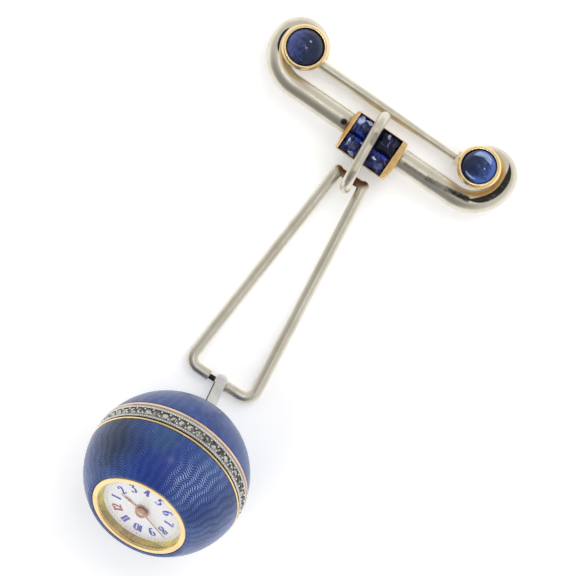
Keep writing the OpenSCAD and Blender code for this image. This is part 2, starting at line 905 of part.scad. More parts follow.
module dial() {
    color("white")
        in_ball()
            difference() {
                disc(bezel_in_r - play, dial_front - dial_t, dial_front);
                disc(post_pin_r + play, dial_front - past, dial_front + past);
            }
}

// A tapering arm from a hub out to a point
module hand_arm(length) {
    polygon([
        [0, -hand_root_w / 2],
        [length, -hand_tip_w / 2],
        [length, hand_tip_w / 2],
        [0, hand_root_w / 2]
    ]);
}

module hour_hand() {
    color("peru")
        in_ball()
            translate([0, 0, dial_front + hour_lift])
                rotate([0, 0, hour_angle])
                    linear_extrude(hand_t)
                        difference() {
                            union() {
                                circle(r = hour_hub_r);
                                hand_arm(hour_l);
                                translate([lobe_place * hour_l, 0])
                                    circle(r = lobe_r);
                                translate([small_lobe_place * hour_l, 0])
                                    circle(r = small_lobe_r);
                            }
                            circle(r = post_pin_r + play);
                        }
}

module minute_hand() {
    color("peru")
        in_ball()
            translate([0, 0, dial_front + minute_lift])
                rotate([0, 0, minute_angle])
                    difference() {
                        union() {
                            linear_extrude(hand_t)
                                hand_arm(minute_l);
                            cylinder(r = knob_r, h = hand_t + knob_h);
                        }
                        translate([0, 0, -past])
                            cylinder(r = post_pin_r + play, h = hand_t + knob_h + 2 * past);
                    }
}

// The plain drum that carries the dial and hands, held by its flange inside the diamond band
module movement() {
    band_middle = (band_lower - band_upper) / 2;
    color("darkkhaki")
        in_ball() {
            disc(drum_r, -drum_back, bezel_back - 2 * play);
            disc(drum_neck_r, -drum_back / 2, drum_front);
            disc(band_inner_r - gap, band_middle - flange_t / 2, band_middle + flange_t / 2);
            disc(post_pin_r, 0, dial_front + minute_lift + hand_t + knob_h);
        }
}

bar();
box_setting();
square_sapphire(0);  // square_sapphire_1
square_sapphire(1);  // square_sapphire_2
square_sapphire(2);  // square_sapphire_3
square_sapphire(3);  // square_sapphire_4
collet(-1, [left_collet_x, left_collet_y], left_stone_r, 0);  // collet_left
collet(1, [right_collet_x, right_collet_y], right_stone_r, right_lean);  // collet_right
cabochon(-1, [left_collet_x, left_collet_y], left_stone_r, 0);  // cabochon_left
cabochon(1, [right_collet_x, right_collet_y], right_stone_r, right_lean);  // cabochon_right
pin_stem();
pin_hinge();
pin_catch();
oval_loop();
trapezoid_link();
watch_bail();
upper_shell();
upper_gold_line();
diamond_band();
band_diamonds();
lower_gold_line();
lower_shell();
bezel();
crystal();
dial();
hour_hand();
minute_hand();
movement();
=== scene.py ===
"""Ball watch on a bar brooch: the finish of its platinum, gold, enamel and stones, and its stage."""
import json
import math
import random

import bmesh
import bpy
from bpy.props import FloatProperty, FloatVectorProperty, IntProperty, PointerProperty
from mathutils import Matrix, Vector


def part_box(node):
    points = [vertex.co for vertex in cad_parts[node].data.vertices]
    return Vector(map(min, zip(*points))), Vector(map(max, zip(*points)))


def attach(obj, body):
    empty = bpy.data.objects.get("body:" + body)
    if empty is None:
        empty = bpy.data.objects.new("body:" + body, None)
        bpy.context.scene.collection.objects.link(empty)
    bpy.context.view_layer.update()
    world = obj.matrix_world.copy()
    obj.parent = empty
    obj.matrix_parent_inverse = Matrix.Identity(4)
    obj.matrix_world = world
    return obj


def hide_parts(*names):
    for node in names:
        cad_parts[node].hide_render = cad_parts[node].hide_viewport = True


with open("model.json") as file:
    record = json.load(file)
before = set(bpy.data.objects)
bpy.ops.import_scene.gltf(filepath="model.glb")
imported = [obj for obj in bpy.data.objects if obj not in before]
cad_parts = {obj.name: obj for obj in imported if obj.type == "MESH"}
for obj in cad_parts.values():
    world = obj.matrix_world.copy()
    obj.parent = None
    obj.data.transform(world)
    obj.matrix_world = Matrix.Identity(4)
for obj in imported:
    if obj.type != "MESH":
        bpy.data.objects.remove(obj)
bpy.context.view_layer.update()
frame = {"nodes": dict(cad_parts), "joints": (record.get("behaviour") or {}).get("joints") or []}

bl_info = {
    "name": "Chatelaine watch pin",
    "version": (1, 0, 0),
    "blender": (4, 5, 0),
    "location": "View3D > Sidebar > Watch pin",
    "description": "Dresses the packed brooch and ball watch in metal, enamel and stones",
    "category": "Object",
}

MM = 0.001
JOINTS = {joint["name"]: joint for joint in frame["joints"]}


def length(name, description, millimetres):
    """A length in metres whose default is given in millimetres."""
    return FloatProperty(
        name=name, description=description, default=millimetres * MM,
        min=0.0, precision=5, subtype="DISTANCE", unit="LENGTH",
    )


def signed_length(name, description, millimetres):
    """A length on either side of the origin whose default is given in millimetres."""
    return FloatProperty(name=name, description=description, default=millimetres * MM, unit="LENGTH")


def angle(name, description, degrees):
    """An angle whose default is given in degrees."""
    return FloatProperty(
        name=name, description=description, default=math.radians(degrees), subtype="ANGLE", unit="ROTATION",
    )


def share(name, description, default):
    """A plain number from 0 to 1."""
    return FloatProperty(name=name, description=description, default=default, min=0.0, max=1.0)


def number_of(name, description, default, least):
    """A whole number and the least that it may be."""
    return IntProperty(name=name, description=description, default=default, min=least)


def colour(name, description, red, green, blue):
    """A colour with linear components."""
    return FloatVectorProperty(
        name=name, description=description, default=(red, green, blue), size=3, min=0.0, max=1.0,
        subtype="COLOR",
    )


class WatchPinColours(bpy.types.PropertyGroup):
    """Colours of the metals, the enamel and the stones."""

    platinum: colour("Platinum", "Polished platinum of the bar, loop and link", 0.77, 0.725, 0.605)
    platinum_worn: colour("Worn platinum", "Duller platinum between the bright wear", 0.68, 0.63, 0.51)
    tarnish: colour("Tarnish", "Brown film where the wires rub on each other", 0.22, 0.11, 0.045)
    # At the link's notch and by the box this is a dark spot; on the bar and in the bail's slit it is painted
    # shade and painted dark reflections.
    oxide: colour("Oxide", "Dark film in the notch of the link and in streaks on the bar", 0.045, 0.045, 0.04)
    bail_metal: colour("Bail metal", "Pale satin platinum of the watch bail", 0.90, 0.90, 0.885)
    band_metal: colour("Band metal", "Bright beads and grains of the diamond band", 0.94, 0.93, 0.89)
    # The band's ground is painted shade between the beads.
    band_ground: colour("Band ground", "Darker metal between the beads", 0.60, 0.59, 0.56)
    gold: colour("Gold", "Yellow gold of the collets, the box and the bezel", 0.97, 0.72, 0.37)
    gold_deep: colour("Deep gold", "Darker gold in hollows and old solder", 0.66, 0.38, 0.13)
    gold_wall: colour("Inner gold", "Greenish gold of the bezel's inner wall", 0.82, 0.68, 0.07)
    wall_shade: colour("Inner gold shade", "Darker patches of the bezel's inner wall", 0.50, 0.37, 0.02)
    pink_gold: colour("Pink gold", "Coppery gold of the line above the band", 0.84, 0.58, 0.40)
    rose_gold: colour("Rose gold", "Rose gold of the watch hands", 0.66, 0.33, 0.19)
    enamel: colour("Enamel", "Blue of the translucent enamel", 0.016, 0.052, 0.215)
    # enamel_light also carries a painted lit side, and enamel_dark painted shade and a painted dark
    # reflection besides cracks.
    enamel_light: colour("Light enamel", "Enamel where the engraving shines through", 0.075, 0.145, 0.400)
    enamel_deep: colour("Deep enamel", "Saturated enamel above the dial", 0.005, 0.028, 0.215)
    enamel_green: colour("Green enamel", "Greenish patches near the edges of the enamel", 0.035, 0.100, 0.170)
    enamel_dark: colour("Dark enamel", "Slate shade of the enamel over shaded cuts", 0.009, 0.022, 0.065)
    # enamel_glitter is painted glitter.
    enamel_glitter: colour("Enamel glitter", "Pale glitter of the cuts that face the light", 0.36, 0.46, 0.74)
    dial_white: colour("Dial white", "White enamel of the dial", 0.97, 0.97, 0.99)
    numeral_blue: colour("Numeral blue", "Blue of the hours from 1 to 11", 0.022, 0.026, 0.520)
    numeral_red: colour("Numeral red", "Red of the 12", 0.400, 0.025, 0.040)
    # The square sapphires' blue, flash and grey facet colours serve as painted reflections in their glints.
    sapphire: colour("Sapphire", "Body colour of the square sapphires", 0.009, 0.013, 0.070)
    sapphire_blue: colour("Sapphire blue", "Royal blue facets of a square sapphire", 0.015, 0.050, 0.420)
    sapphire_flash: colour("Sapphire flash", "Pale reflections inside a square sapphire", 0.46, 0.53, 0.84)
    sapphire_grey: colour("Sapphire grey", "Grey-violet facets of a square sapphire", 0.090, 0.095, 0.185)
    # Cabochon rim and side light are painted light; the dark middle and pale crescents are painted
    # reflections.
    cabochon_left: colour("Left cabochon", "Slate blue of the left cabochon", 0.018, 0.026, 0.062)
    cabochon_haze: colour("Cabochon haze", "Violet-blue haze on a cabochon's side", 0.085, 0.110, 0.330)
    cabochon_right: colour("Right cabochon", "Royal blue rim of the right cabochon", 0.065, 0.130, 0.450)
    cabochon_depth: colour("Cabochon depth", "Dark middle of the right cabochon", 0.016, 0.024, 0.068)
    cabochon_glint: colour("Cabochon glint", "Pale crescent inside the right cabochon", 0.36, 0.46, 0.72)
    # The diamonds' facets are painted dark and bright from this grey: painted facet reflections.
    diamond: colour("Diamond", "Grey body of the old-cut diamonds", 0.19, 0.185, 0.165)


class WatchPinBrooch(bpy.types.PropertyGroup):
    """Sizes of the bar, its collets and its pin."""

    tube_r: length("Tube radius", "Radius of the platinum tube", 1.17)
    straight_half: length("Half straight", "From the bar's middle to where it starts to curl", 9.93)
    curl_r: length("Wide curl", "Centre-line radius of the first curl", 3.6)
    eye_curl_r: length("Tight curl", "Centre-line radius of the second curl", 1.9)
    curl_change: angle("Curl change", "Angle above the bar where the tight curl takes over", 5)
    rod_r: length("Rod radius", "Radius of the rod that carries the box", 0.5)
    tube_start: length("Tube start", "From the bar's middle to the tube's inner end", 3.38)
    tube_edge: length("Tube edge", "Rounding of the tube's two inner ends", 0.06)
    tube_reach: length("Tube reach", "How much nearer to the box the left tube ends", 0.31)
    curl_cut: length("Curl cut", "Height above the bar where the curl ends beside the pin", 4.23)
    pin_y: length("Pin height", "Distance of the pin stem above the bar", 3.57)
    pin_depth: length("Pin depth", "Distance of the pin stem behind the bar", 0.8)
    box_inner_x: length("Box inside", "From the box's middle to the end of its stones", 2.595)
    box_inner_y: length("Box inside height", "From the box's middle to the side of its stones", 2.2)
    box_edge: length("Box edge", "Rounding of the gold box's rim", 0.22)
    box_lip: length("Box lip", "How far the box's rim laps over its stones", 0.07)
    box_undercut: angle("Box undercut", "Slope of the box's lower wall under its rim", 12)
    box_channel: length("Box channel", "Width of the channel under the loop", 0.85)
    channel_depth: length("Channel depth", "Depth of the channel under the loop", 0.35)
    stone_depth: length("Stone depth", "Depth of a square sapphire", 0.95)
    stone_gap: length("Stone gap", "Gap between two rows of square sapphires", 0.08)
    collet_rim: length("Collet rim", "Width of a collet's bright rim beside its stone", 0.25)
    collet_skirt: length("Collet skirt", "Slope outside a collet's rim", 0.22)
    collet_base_r: length("Collet base", "Radius of a collet's base", 1.85)
    collet_h: length("Collet height", "Height of a collet", 1.1)
    collet_edge: length("Collet edge", "Rounding of a collet's rim", 0.09)
    seat_depth: length("Seat depth", "Depth of a cabochon's seat", 0.5)
    post_r: length("Post radius", "Radius of the post under a collet", 0.55)
    post_foot: length("Post foot", "Depth of the post's foot in front of the bar's axis", 0.18)
    collet_gap: length("Collet gap", "Gap between the tube and a collet's base", 0.03)
    left_collet_x: length("Left collet", "Distance of the left collet from the bar's middle", 11.13)
    left_collet_y: length("Left collet height", "Distance of the left collet above the bar", 3.52)
    left_stone_r: length("Left stone", "Radius of the left cabochon", 1.94)
    right_collet_x: length("Right collet", "Distance of the right collet from the bar's middle", 10.53)
    right_collet_y: length("Right collet height", "Distance of the right collet above the bar", 3.45)
    right_stone_r: length("Right stone", "Radius of the right cabochon", 1.8)
    right_lean: angle("Right lean", "Lean of the right collet towards the middle", 7)
    dome_h: length("Dome height", "Height of a cabochon's dome", 1.25)


class WatchPinChain(bpy.types.PropertyGroup):
    """Sizes of the oval loop, the wire link and the watch bail."""

    loop_l: length("Loop length", "Outer length of the oval loop", 9.43)
    loop_r: length("Loop wire", "Radius of the loop's wire along its strands", 0.435)
    loop_end_r: length("Loop end wire", "Radius of the loop's wire at its ends", 0.55)
    loop_swell: length("Loop swell", "How much thicker the loop's front strand is", 0.11)
    loop_lean: length("Loop lean", "How far the loop's front strand leans to the left", 0.12)
    loop_corner: length("Loop corner", "Centre-line radius of the loop's corners", 2.0)
    loop_turn: angle("Loop turn", "Turn of the loop away from square to the bar", 5.2)
    link_r: length("Link wire", "Radius of the link's wire", 0.59)
    link_l: length("Link length", "Length between the link's crossbars", 24.86)
    link_top_w: length("Link top", "Width between the legs at the top crossbar", 3.1)
    link_bottom_w: length("Link bottom", "Width between the legs at the bottom crossbar", 7.76)
    link_corner: length("Link corner", "Centre-line radius of the bottom corners", 1.2)
    top_bar_r: length("Top crossbar", "Radius of the top crossbar", 0.45)
    link_slope: angle("Link slope", "Slope of the link down to the floor", 3.18)
    link_drift: angle("Link drift", "Sideways drift of the link as it lies", 1.6)
    link_x: length("Link place", "Place of the bottom crossbar's middle along X", 0.966)
    neck_r: length("Neck", "Radius of the necked stretch the bail hangs on", 0.28)
    neck_bare: length("Bare neck", "Length of neck left bare beside the bail", 0.7)
    bail_w: length("Bail width", "Width of the bail's strap", 1.2)
    bail_wall: length("Bail wall", "Wall of the bail round the neck", 0.28)
    bail_gap: length("Bail gap", "Gap between the bail and the neck", 0.03)
    bail_shift: length("Bail place", "Place of the bail right of the crossbar's middle", 0.15)
    bail_reach: length("Bail reach", "How much further the bail's fold reaches", 0.45)
    bail_edge: length("Bail edge", "Rounding of the bail's edges", 0.05)
    bail_lean: angle("Bail lean", "Lean of the bail on its way down", 9.5)


class WatchPinBall(bpy.types.PropertyGroup):
    """Sizes of the enamelled ball, its diamond band and its bezel."""

    ball_r: length("Ball radius", "Radius of the ball", 8.5)
    shell_wall: length("Shell wall", "Wall of the enamelled shells", 0.6)
    shell_edge: length("Shell edge", "Rounding of the enamel at a shell's edge", 0.09)
    band_upper: length("Band top", "Band's edge towards the pole, from the centre", 1.25)
    band_lower: length("Band bottom", "Band's edge towards the dial, from the centre", 0.45)
    upper_line: length("Upper line", "Width of the upper gold line", 0.34)
    line_rise: length("Line rise", "How far the gold lines stand out of the enamel", 0.05)
    lower_line_start: length("Lower line start", "Start of the lower gold line, from the centre", 0.64)
    lower_line: length("Lower line", "Width of the lower gold line", 0.22)
    seam: length("Seam", "Gap between neighbouring pieces", 0.03)
    band_wall: length("Band wall", "Thickness of the band and the gold lines", 1.1)
    groove_depth: length("Groove depth", "Depth of the groove that holds the diamonds", 0.4)
    band_edge: length("Band edge", "Bare edge of the band beside its groove", 0.38)
    bead_r: length("Milgrain bead", "Radius of a milgrain bead", 0.115)
    bead_count: number_of("Milgrain beads", "Beads in one milgrain row", 204, 60)
    diamond_count: number_of("Diamonds", "Diamonds round the band", 54, 20)
    diamond_r: length("Diamond radius", "Radius of a band diamond", 0.39)
    grain_r: length("Setting grain", "Radius of a grain that holds the diamonds", 0.13)
    bezel_front: length("Bezel face", "Distance of the bezel's face from the ball's centre", 6.32)
    bezel_r: length("Bezel radius", "Outer radius of the bezel", 5.3)
    bezel_rim: length("Bezel rim", "Width of the bezel's rim", 0.6)
    bezel_depth: length("Bezel depth", "Depth of the bezel", 1.4)
    bezel_edge: length("Bezel edge", "Rounding of the bezel's rim", 0.14)
    shell_rim: length("Shell rim", "Width of the lower shell's edge round the bezel", 0.367)
    shell_lip: length("Shell lip", "Depth of the lower shell's collar round the bezel", 0.87)
    bezel_play: length("Bezel play", "Gap between the bezel and the shell", 0.05)
    engraving_pitch: length("Engraving pitch", "Distance between the engraved lines", 0.26)
    wave_count: number_of("Waves", "Waves of an engraved line round the ball", 48, 4)
    wave_height: length("Wave height", "Height of an engraved wave", 0.13)


class WatchPinDial(bpy.types.PropertyGroup):
    """Sizes of the dial, the glass and the hands."""

    dial_recess: length("Dial recess", "Depth of the dial below the bezel's face", 0.89)
    dial_t: length("Dial thickness", "Thickness of the enamel dial", 0.3)
    twelve: angle("Twelve", "Angle of the 12 on the dial", 221)
    numeral_ring: length("Numeral ring", "Radius of the ring of numerals", 3.02)
    numeral_h: length("Numeral height", "Height of a numeral", 1.08)
    numeral_t: length("Numeral paint", "Thickness of the numerals' paint", 0.012)
    track_r: length("Minute track", "Radius of the minute track", 4.02)
    track_dot: length("Track dot", "Radius of a dot of the minute track", 0.055)
    crystal_edge: length("Glass edge", "Thickness of the glass at its edge", 0.2)
    crystal_rise: length("Glass rise", "Rise of the glass's dome", 0.25)
    ledge_r: length("Ledge", "Inner radius of the bezel's ledge under the glass", 4.6)
    wall_foot_r: length("Wall foot", "Inner radius of the bezel's wall beside the dial", 4.42)
    crystal_set: length("Glass set", "Depth of the glass's edge below the bezel's face", 0.08)
    minute_l: length("Minute hand", "Length of the minute hand", 3.7)
    hour_l: length("Hour hand", "Length of the hour hand", 2.75)
    hand_t: length("Hand thickness", "Thickness of a hand", 0.08)
    hand_w: length("Hand width", "Width of a hand at its hub", 0.16)
    lobe_r: length("Lobe", "Bulge of the hour hand's large lobe", 0.14)
    small_lobe_r: length("Small lobe", "Bulge of the hour hand's small lobe", 0.09)
    hour_lift: length("Hour lift", "Height of the hour hand over the dial", 0.08)
    minute_lift: length("Minute lift", "Height of the minute hand over the dial", 0.25)
    minute_angle: angle("Minute angle", "Angle of the minute hand on the dial", 335)
    hour_angle: angle("Hour angle", "Angle of the hour hand on the dial", 169)
    hour_hub_r: length("Hour hub", "Radius of the hour hand's hub", 0.78)
    knob_r: length("Knob radius", "Radius of the knob on the minute hand", 0.62)
    knob_h: length("Knob height", "Height of the knob above the minute hand", 0.23)
    cap_r: length("Post cap", "Radius of the pale end of the centre post", 0.25)
    post_r: length("Centre post", "Radius of the centre post", 0.16)


class WatchPinStage(bpy.types.PropertyGroup):
    """The camera, the lights and the floor."""

    view_w: length("View width", "Width of what the camera sees on the floor", 59.08)
    view_x: signed_length("View X", "Place along X that the camera looks down on", 1.35)
    view_y: signed_length("View Y", "Place along Y that the camera looks down on", 3.44)
    view_roll: angle("View roll", "Turn of the camera round its own axis", 34.5)
    camera_h: length("Camera height", "Height of the camera over the floor", 900)
    floor_w: length("Floor", "Width of the floor", 1600)
    floor_colour: colour("Floor colour", "Pale floor", 0.93, 0.93, 0.93)
    floor_glow: share("Floor glow", "Light of the floor's own, as of a light table", 0.30)
    tent: share("Tent", "Brightness of the white tent", 0.90)
    card: share("Card", "Brightness of the dark side of the tent", 0.33)


GROUPS = {
    "pin_colours": WatchPinColours,
    "pin_brooch": WatchPinBrooch,
    "pin_chain": WatchPinChain,
    "pin_ball": WatchPinBall,
    "pin_dial": WatchPinDial,
    "pin_stage": WatchPinStage,
}


def numbers(context, group):
    """One of the scene's groups of sizes."""
    return getattr(context.scene, group)


def sizes_and_colours(context, group):
    return numbers(context, group), numbers(context, "pin_colours")


def shaded(tone, factor):
    """A colour made lighter or darker by a factor."""
    return tuple(part * factor for part in tone)


# Frames of the pieces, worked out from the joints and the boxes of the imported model


def columns(x_axis, y_axis, z_axis, origin):
    """A placing matrix from three axes and an origin."""
    matrix = Matrix.Identity(4)
    for index, column in enumerate((x_axis, y_axis, z_axis, origin)):
        matrix.col[index][:3] = column
    return matrix


def brooch_frame(sizes):
    """Along the bar, up towards the pin and out of the brooch's face, from the pin's hinge."""
    hinge = Vector(JOINTS["pin_hinge_turn"]["pos_m"])
    along = Vector((1, 0, 0))
    up = Vector(JOINTS["pin_hinge_turn"]["axis"]).normalized()
    out = along.cross(up)
    origin = hinge - along * hinge.x - up * sizes.pin_y + out * sizes.pin_depth
    return columns(along, up, out, origin)


def ball_frame():
    """Across the dial and out along the ball's axis, from the hands' joint."""
    centre = Vector(JOINTS["minute_hand_turn"]["pos_m"])
    out = Vector(JOINTS["minute_hand_turn"]["axis"]).normalized()
    across = Vector((-out.y, out.x, 0)).normalized()
    return columns(across, out.cross(across), out, centre)


def loop_frame(sizes):
    """Across the loop, along it and up, from its middle."""
    low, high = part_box("oval_loop")
    middle = (Vector(low) + Vector(high)) / 2
    return Matrix.Translation(middle) @ Matrix.Rotation(sizes.loop_turn, 4, "Z")


def link_frame(sizes):
    """Along the bottom crossbar, up the link and out of it, from the crossbar's middle."""
    low = Vector(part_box("trapezoid_link")[0])
    drop = (sizes.link_bottom_w / 2 - sizes.link_corner) * math.sin(sizes.link_drift)
    origin = Vector((sizes.link_x, low.y + sizes.link_r + drop, sizes.link_r))
    turn = Matrix.Rotation(sizes.link_drift, 4, "Z") @ Matrix.Rotation(sizes.link_slope, 4, "X")
    return Matrix.Translation(origin) @ turn


def bail_frame(sizes):
    """Across the bail's strap, out of it and down it, from the crossbar's axis."""
    tilt = math.asin(Vector(JOINTS["minute_hand_turn"]["axis"]).normalized().z)
    hook = link_frame(sizes) @ Vector((sizes.bail_shift, 0, 0))
    turn = Matrix.Rotation(sizes.bail_lean, 4, "Z") @ Matrix.Rotation(math.pi / 2 - tilt, 4, "X")
    return Matrix.Translation(hook) @ turn


# Mesh making

WELD = 1e-7
PACKED_WELD = 2e-7
SMOOTH_BELOW = math.radians(32)


class Shape:
    """Points and faces that are gathered before they become one piece."""

    def __init__(self):
        self.points = []
        self.faces = []

    def add(self, points, faces, matrix=None):
        start = len(self.points)
        self.points += [matrix @ Vector(point) if matrix else Vector(point) for point in points]
        self.faces += [tuple(start + index for index in face) for face in faces]
        return self

    def tube(self, rings, closed=False, matrix=None):
        """Skin over rings of points; open tubes get flat ends."""
        sides = len(rings[0])
        count = len(rings)
        faces = []
        for ring in range(count if closed else count - 1):
            here = ring * sides
            there = (ring + 1) % count * sides
            for side in range(sides):
                beside = (side + 1) % sides
                faces.append((here + side, here + beside, there + beside, there + side))
        if not closed:
            faces.append(tuple(reversed(range(sides))))
            faces.append(tuple((count - 1) * sides + side for side in range(sides)))
        return self.add([point for ring in rings for point in ring], faces, matrix)

    def lathe(self, profile, sides=128, matrix=None, closed=True):
        """A profile of (radius, height) turned round Z. A closed one runs back to its start."""
        rings = []
        for turn in circle(sides):
            rings.append([(r * math.cos(turn), r * math.sin(turn), z) for r, z in profile])
        count = len(profile)
        faces = []
        for ring in range(sides):
            here = ring * count
            there = (ring + 1) % sides * count
            for step in range(count if closed else count - 1):
                beside = (step + 1) % count
                faces.append((here + step, there + step, there + beside, here + beside))
        return self.add([point for ring in rings for point in ring], faces, matrix)

    def piece(self, name, body, slot, material, sharp, replaced=()):
        """The finished object, riding on its body."""
        mesh = bpy.data.meshes.new(name)
        mesh.from_pydata([tuple(point) for point in self.points], [], self.faces)
        mesh.validate()
        clean(mesh)
        return shown(mesh, name, body, material, sharp, replaced)


def shown(mesh, name, body, material, sharp, replaced=()):
    """A mesh as a piece on its body, smooth between its sharp edges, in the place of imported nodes."""
    made = bpy.data.objects.new(name, mesh)
    bpy.context.scene.collection.objects.link(made)
    mesh.shade_smooth()
    mesh.set_sharp_from_angle(angle=math.radians(sharp))
    mesh.materials.append(material)
    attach(made, body)
    if replaced:
        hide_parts(*replaced)
    return made


def clean(mesh):
    """Joins points that meet and turns every face outwards."""
    work = bmesh.new()
    work.from_mesh(mesh)
    bmesh.ops.remove_doubles(work, verts=work.verts, dist=WELD)
    bmesh.ops.dissolve_degenerate(work, edges=work.edges, dist=WELD)
    bmesh.ops.recalc_face_normals(work, faces=work.faces)
    work.to_mesh(mesh)
    work.free()
    mesh.update()


def steps(start, end, count):
    """Evenly spaced values from start to end, both counted in."""
    return [start + (end - start) * index / count for index in range(count + 1)]


def circle(count, start=0.0):
    """Evenly spaced turns once round."""
    return steps(start, start + 2 * math.pi, count)[:-1]


def off_axis(radius, height):
    """How far from its axis a ball's surface is at a height."""
    return math.sqrt(radius ** 2 - height ** 2)


def turned(turn, reach, height=0.0):
    """A place at a reach from the axis, turned round it."""
    return Matrix.Rotation(turn, 4, "Z") @ Matrix.Translation((reach, 0, height))


def rounded(profile, radius, count=5, closed=True):
    """A profile with its corners rounded to a radius, as far as its sides allow.

    An open one keeps its first and last point.
    """
    result = []
    size = len(profile)
    for index, here in enumerate(profile):
        if not closed and index in (0, size - 1):
            result.append(here)
            continue
        here = Vector(here)
        before = Vector(profile[index - 1]) - here
        after = Vector(profile[(index + 1) % size]) - here
        reach = min(radius, before.length * 0.45, after.length * 0.45)
        start = here + before.normalized() * reach
        end = here + after.normalized() * reach
        for part in steps(0, 1, count):
            first = start.lerp(here, part)
            second = here.lerp(end, part)
            result.append(tuple(first.lerp(second, part)))
    return result


def arc(radius, start, end, count, centre=(0.0, 0.0)):
    """Points of an arc in a (radius, height) profile, its angles measured from the axis."""
    return [
        (centre[0] + radius * math.sin(turn), centre[1] + radius * math.cos(turn))
        for turn in steps(start, end, count)
    ]


def ball_arc(radius, low, high, count):
    """Profile points on a ball between two heights on its axis."""
    return arc(radius, math.acos(low / radius), math.acos(high / radius), count)


def bead(radius, rows=5, sides=8):
    """A small round bead with its points and faces."""
    shape = Shape()
    profile = [(max(r, 0.0), z) for r, z in arc(radius, 0.0, math.pi, rows)]
    shape.lathe(profile, sides, closed=False)
    return shape


# Shader making


class Value:
    """A socket that adds Math nodes when it is used in sums."""

    def __init__(self, paint, socket):
        self.paint = paint
        self.socket = socket

    def math(self, operation, *others, clamp=False):
        settings = {"operation": operation, "use_clamp": clamp}
        sockets = dict(enumerate((self, *others)))
        return self.paint.node("ShaderNodeMath", settings, sockets)

    def other(self, operation, number):
        settings = {"operation": operation}
        return self.paint.node("ShaderNodeMath", settings, {0: number, 1: self})

    def __add__(self, other):
        return self.math("ADD", other)

    __radd__ = __add__

    def __sub__(self, other):
        return self.math("SUBTRACT", other)

    def __rsub__(self, other):
        return self.other("SUBTRACT", other)

    def __mul__(self, other):
        return self.math("MULTIPLY", other)

    __rmul__ = __mul__

    def __truediv__(self, other):
        return self.math("DIVIDE", other)

    def __rtruediv__(self, other):
        return self.other("DIVIDE", other)

    def __pow__(self, other):
        return self.math("POWER", other)

    def sine(self):
        return self.math("SINE")

    def size(self):
        return self.math("ABSOLUTE")

    def clamp(self):
        return self.math("ADD", 0.0, clamp=True)

    def most(self, other):
        return self.math("MAXIMUM", other)

    def fade(self, start, end, low=0.0, high=1.0):
        """Smoothly from low to high while the value goes from start to end."""
        settings = {"interpolation_type": "SMOOTHSTEP"}
        sockets = {0: self, 1: start, 2: end, 3: low, 4: high}
        return self.paint.node("ShaderNodeMapRange", settings, sockets)


class Graph:
    """A tree of nodes that are added one by one."""

    def __init__(self, tree):
        self.tree = tree
        self.across = 0
        tree.nodes.clear()

    def node(self, kind, settings=None, sockets=None, output=0):
        """A node with its settings, then the values or links of its sockets."""
        made = self.tree.nodes.new(kind)
        self.across += 1
        made.location = (-200 * (self.across % 12) - 300, -160 * (self.across // 12))
        for name, value in (settings or {}).items():
            setattr(made, name, value)
        for name, value in (sockets or {}).items():
            self.feed(made.inputs[name], value)
        return Value(self, made.outputs[output])

    def feed(self, socket, value):
        """A link from a Value, or a plain number or colour."""
        if isinstance(value, Value):
            self.tree.links.new(value.socket, socket)
        elif socket.type == "RGBA" and len(value) == 3:
            socket.default_value = (*value, 1.0)
        else:
            socket.default_value = value

    def end(self, kind, socket, value):
        """The tree's last node."""
        self.feed(self.tree.nodes.new(kind).inputs[socket], value)

    def vector(self, operation, *others, output=0):
        return self.node("ShaderNodeVectorMath", {"operation": operation}, dict(enumerate(others)), output)


class Paint(Graph):
    """A material with one surface shader."""

    def __init__(self, name):
        self.material = bpy.data.materials.new(name)
        self.material.use_nodes = True
        super().__init__(self.material.node_tree)
        self.surface = self.tree.nodes.new("ShaderNodeBsdfPrincipled")
        self.end("ShaderNodeOutputMaterial", "Surface", Value(self, self.surface.outputs["BSDF"]))

    def set(self, **sockets):
        """Values or links of the surface's own sockets, spaces written as underscores."""
        for name, value in sockets.items():
            self.feed(self.surface.inputs[name.replace("_", " ")], value)

    def place(self):
        """Where a point of the piece is, in metres."""
        return self.node("ShaderNodeTexCoord", output=3)

    def parts(self, vector):
        """The three numbers of a vector."""
        made = self.tree.nodes.new("ShaderNodeSeparateXYZ")
        self.tree.links.new(vector.socket, made.inputs[0])
        return [Value(self, socket) for socket in made.outputs]

    def seen_from(self, matrix):
        """The point in a piece's own frame, in millimetres."""
        flat = matrix.to_3x3().transposed()
        from_origin = self.vector("SUBTRACT", self.place(), tuple(matrix.translation))
        return [self.vector("DOT_PRODUCT", from_origin, tuple(row / MM), output=1) for row in flat]

    def joined(self, x, y, z):
        return self.node("ShaderNodeCombineXYZ", None, {0: x, 1: y, 2: z})

    def noise(self, vector, scale, detail=3.0, roughness=0.55, output=0):
        sockets = {"Vector": vector, "Scale": scale, "Detail": detail, "Roughness": roughness}
        return self.node("ShaderNodeTexNoise", None, sockets, output)

    def mix(self, factor, first, second, blend="MIX"):
        """One colour over another."""
        settings = {"data_type": "RGBA", "blend_type": blend, "clamp_factor": True}
        return self.node("ShaderNodeMix", settings, {0: factor, 6: first, 7: second}, 2)

    def bump(self, height, strength, distance):
        sockets = {"Height": height, "Strength": strength, "Distance": distance}
        return self.node("ShaderNodeBump", None, sockets)

    def near(self, point, reach):
        """1 at a point of the frame and 0 from a reach away, with a soft edge."""
        away = self.vector("DISTANCE", self.place(), tuple(point), output=1)
        return away.fade(reach * 0.35, reach, 1.0, 0.0)


def spot(point, reach):
    """A round patch of film on the metal."""
    return lambda paint: paint.near(point, reach)


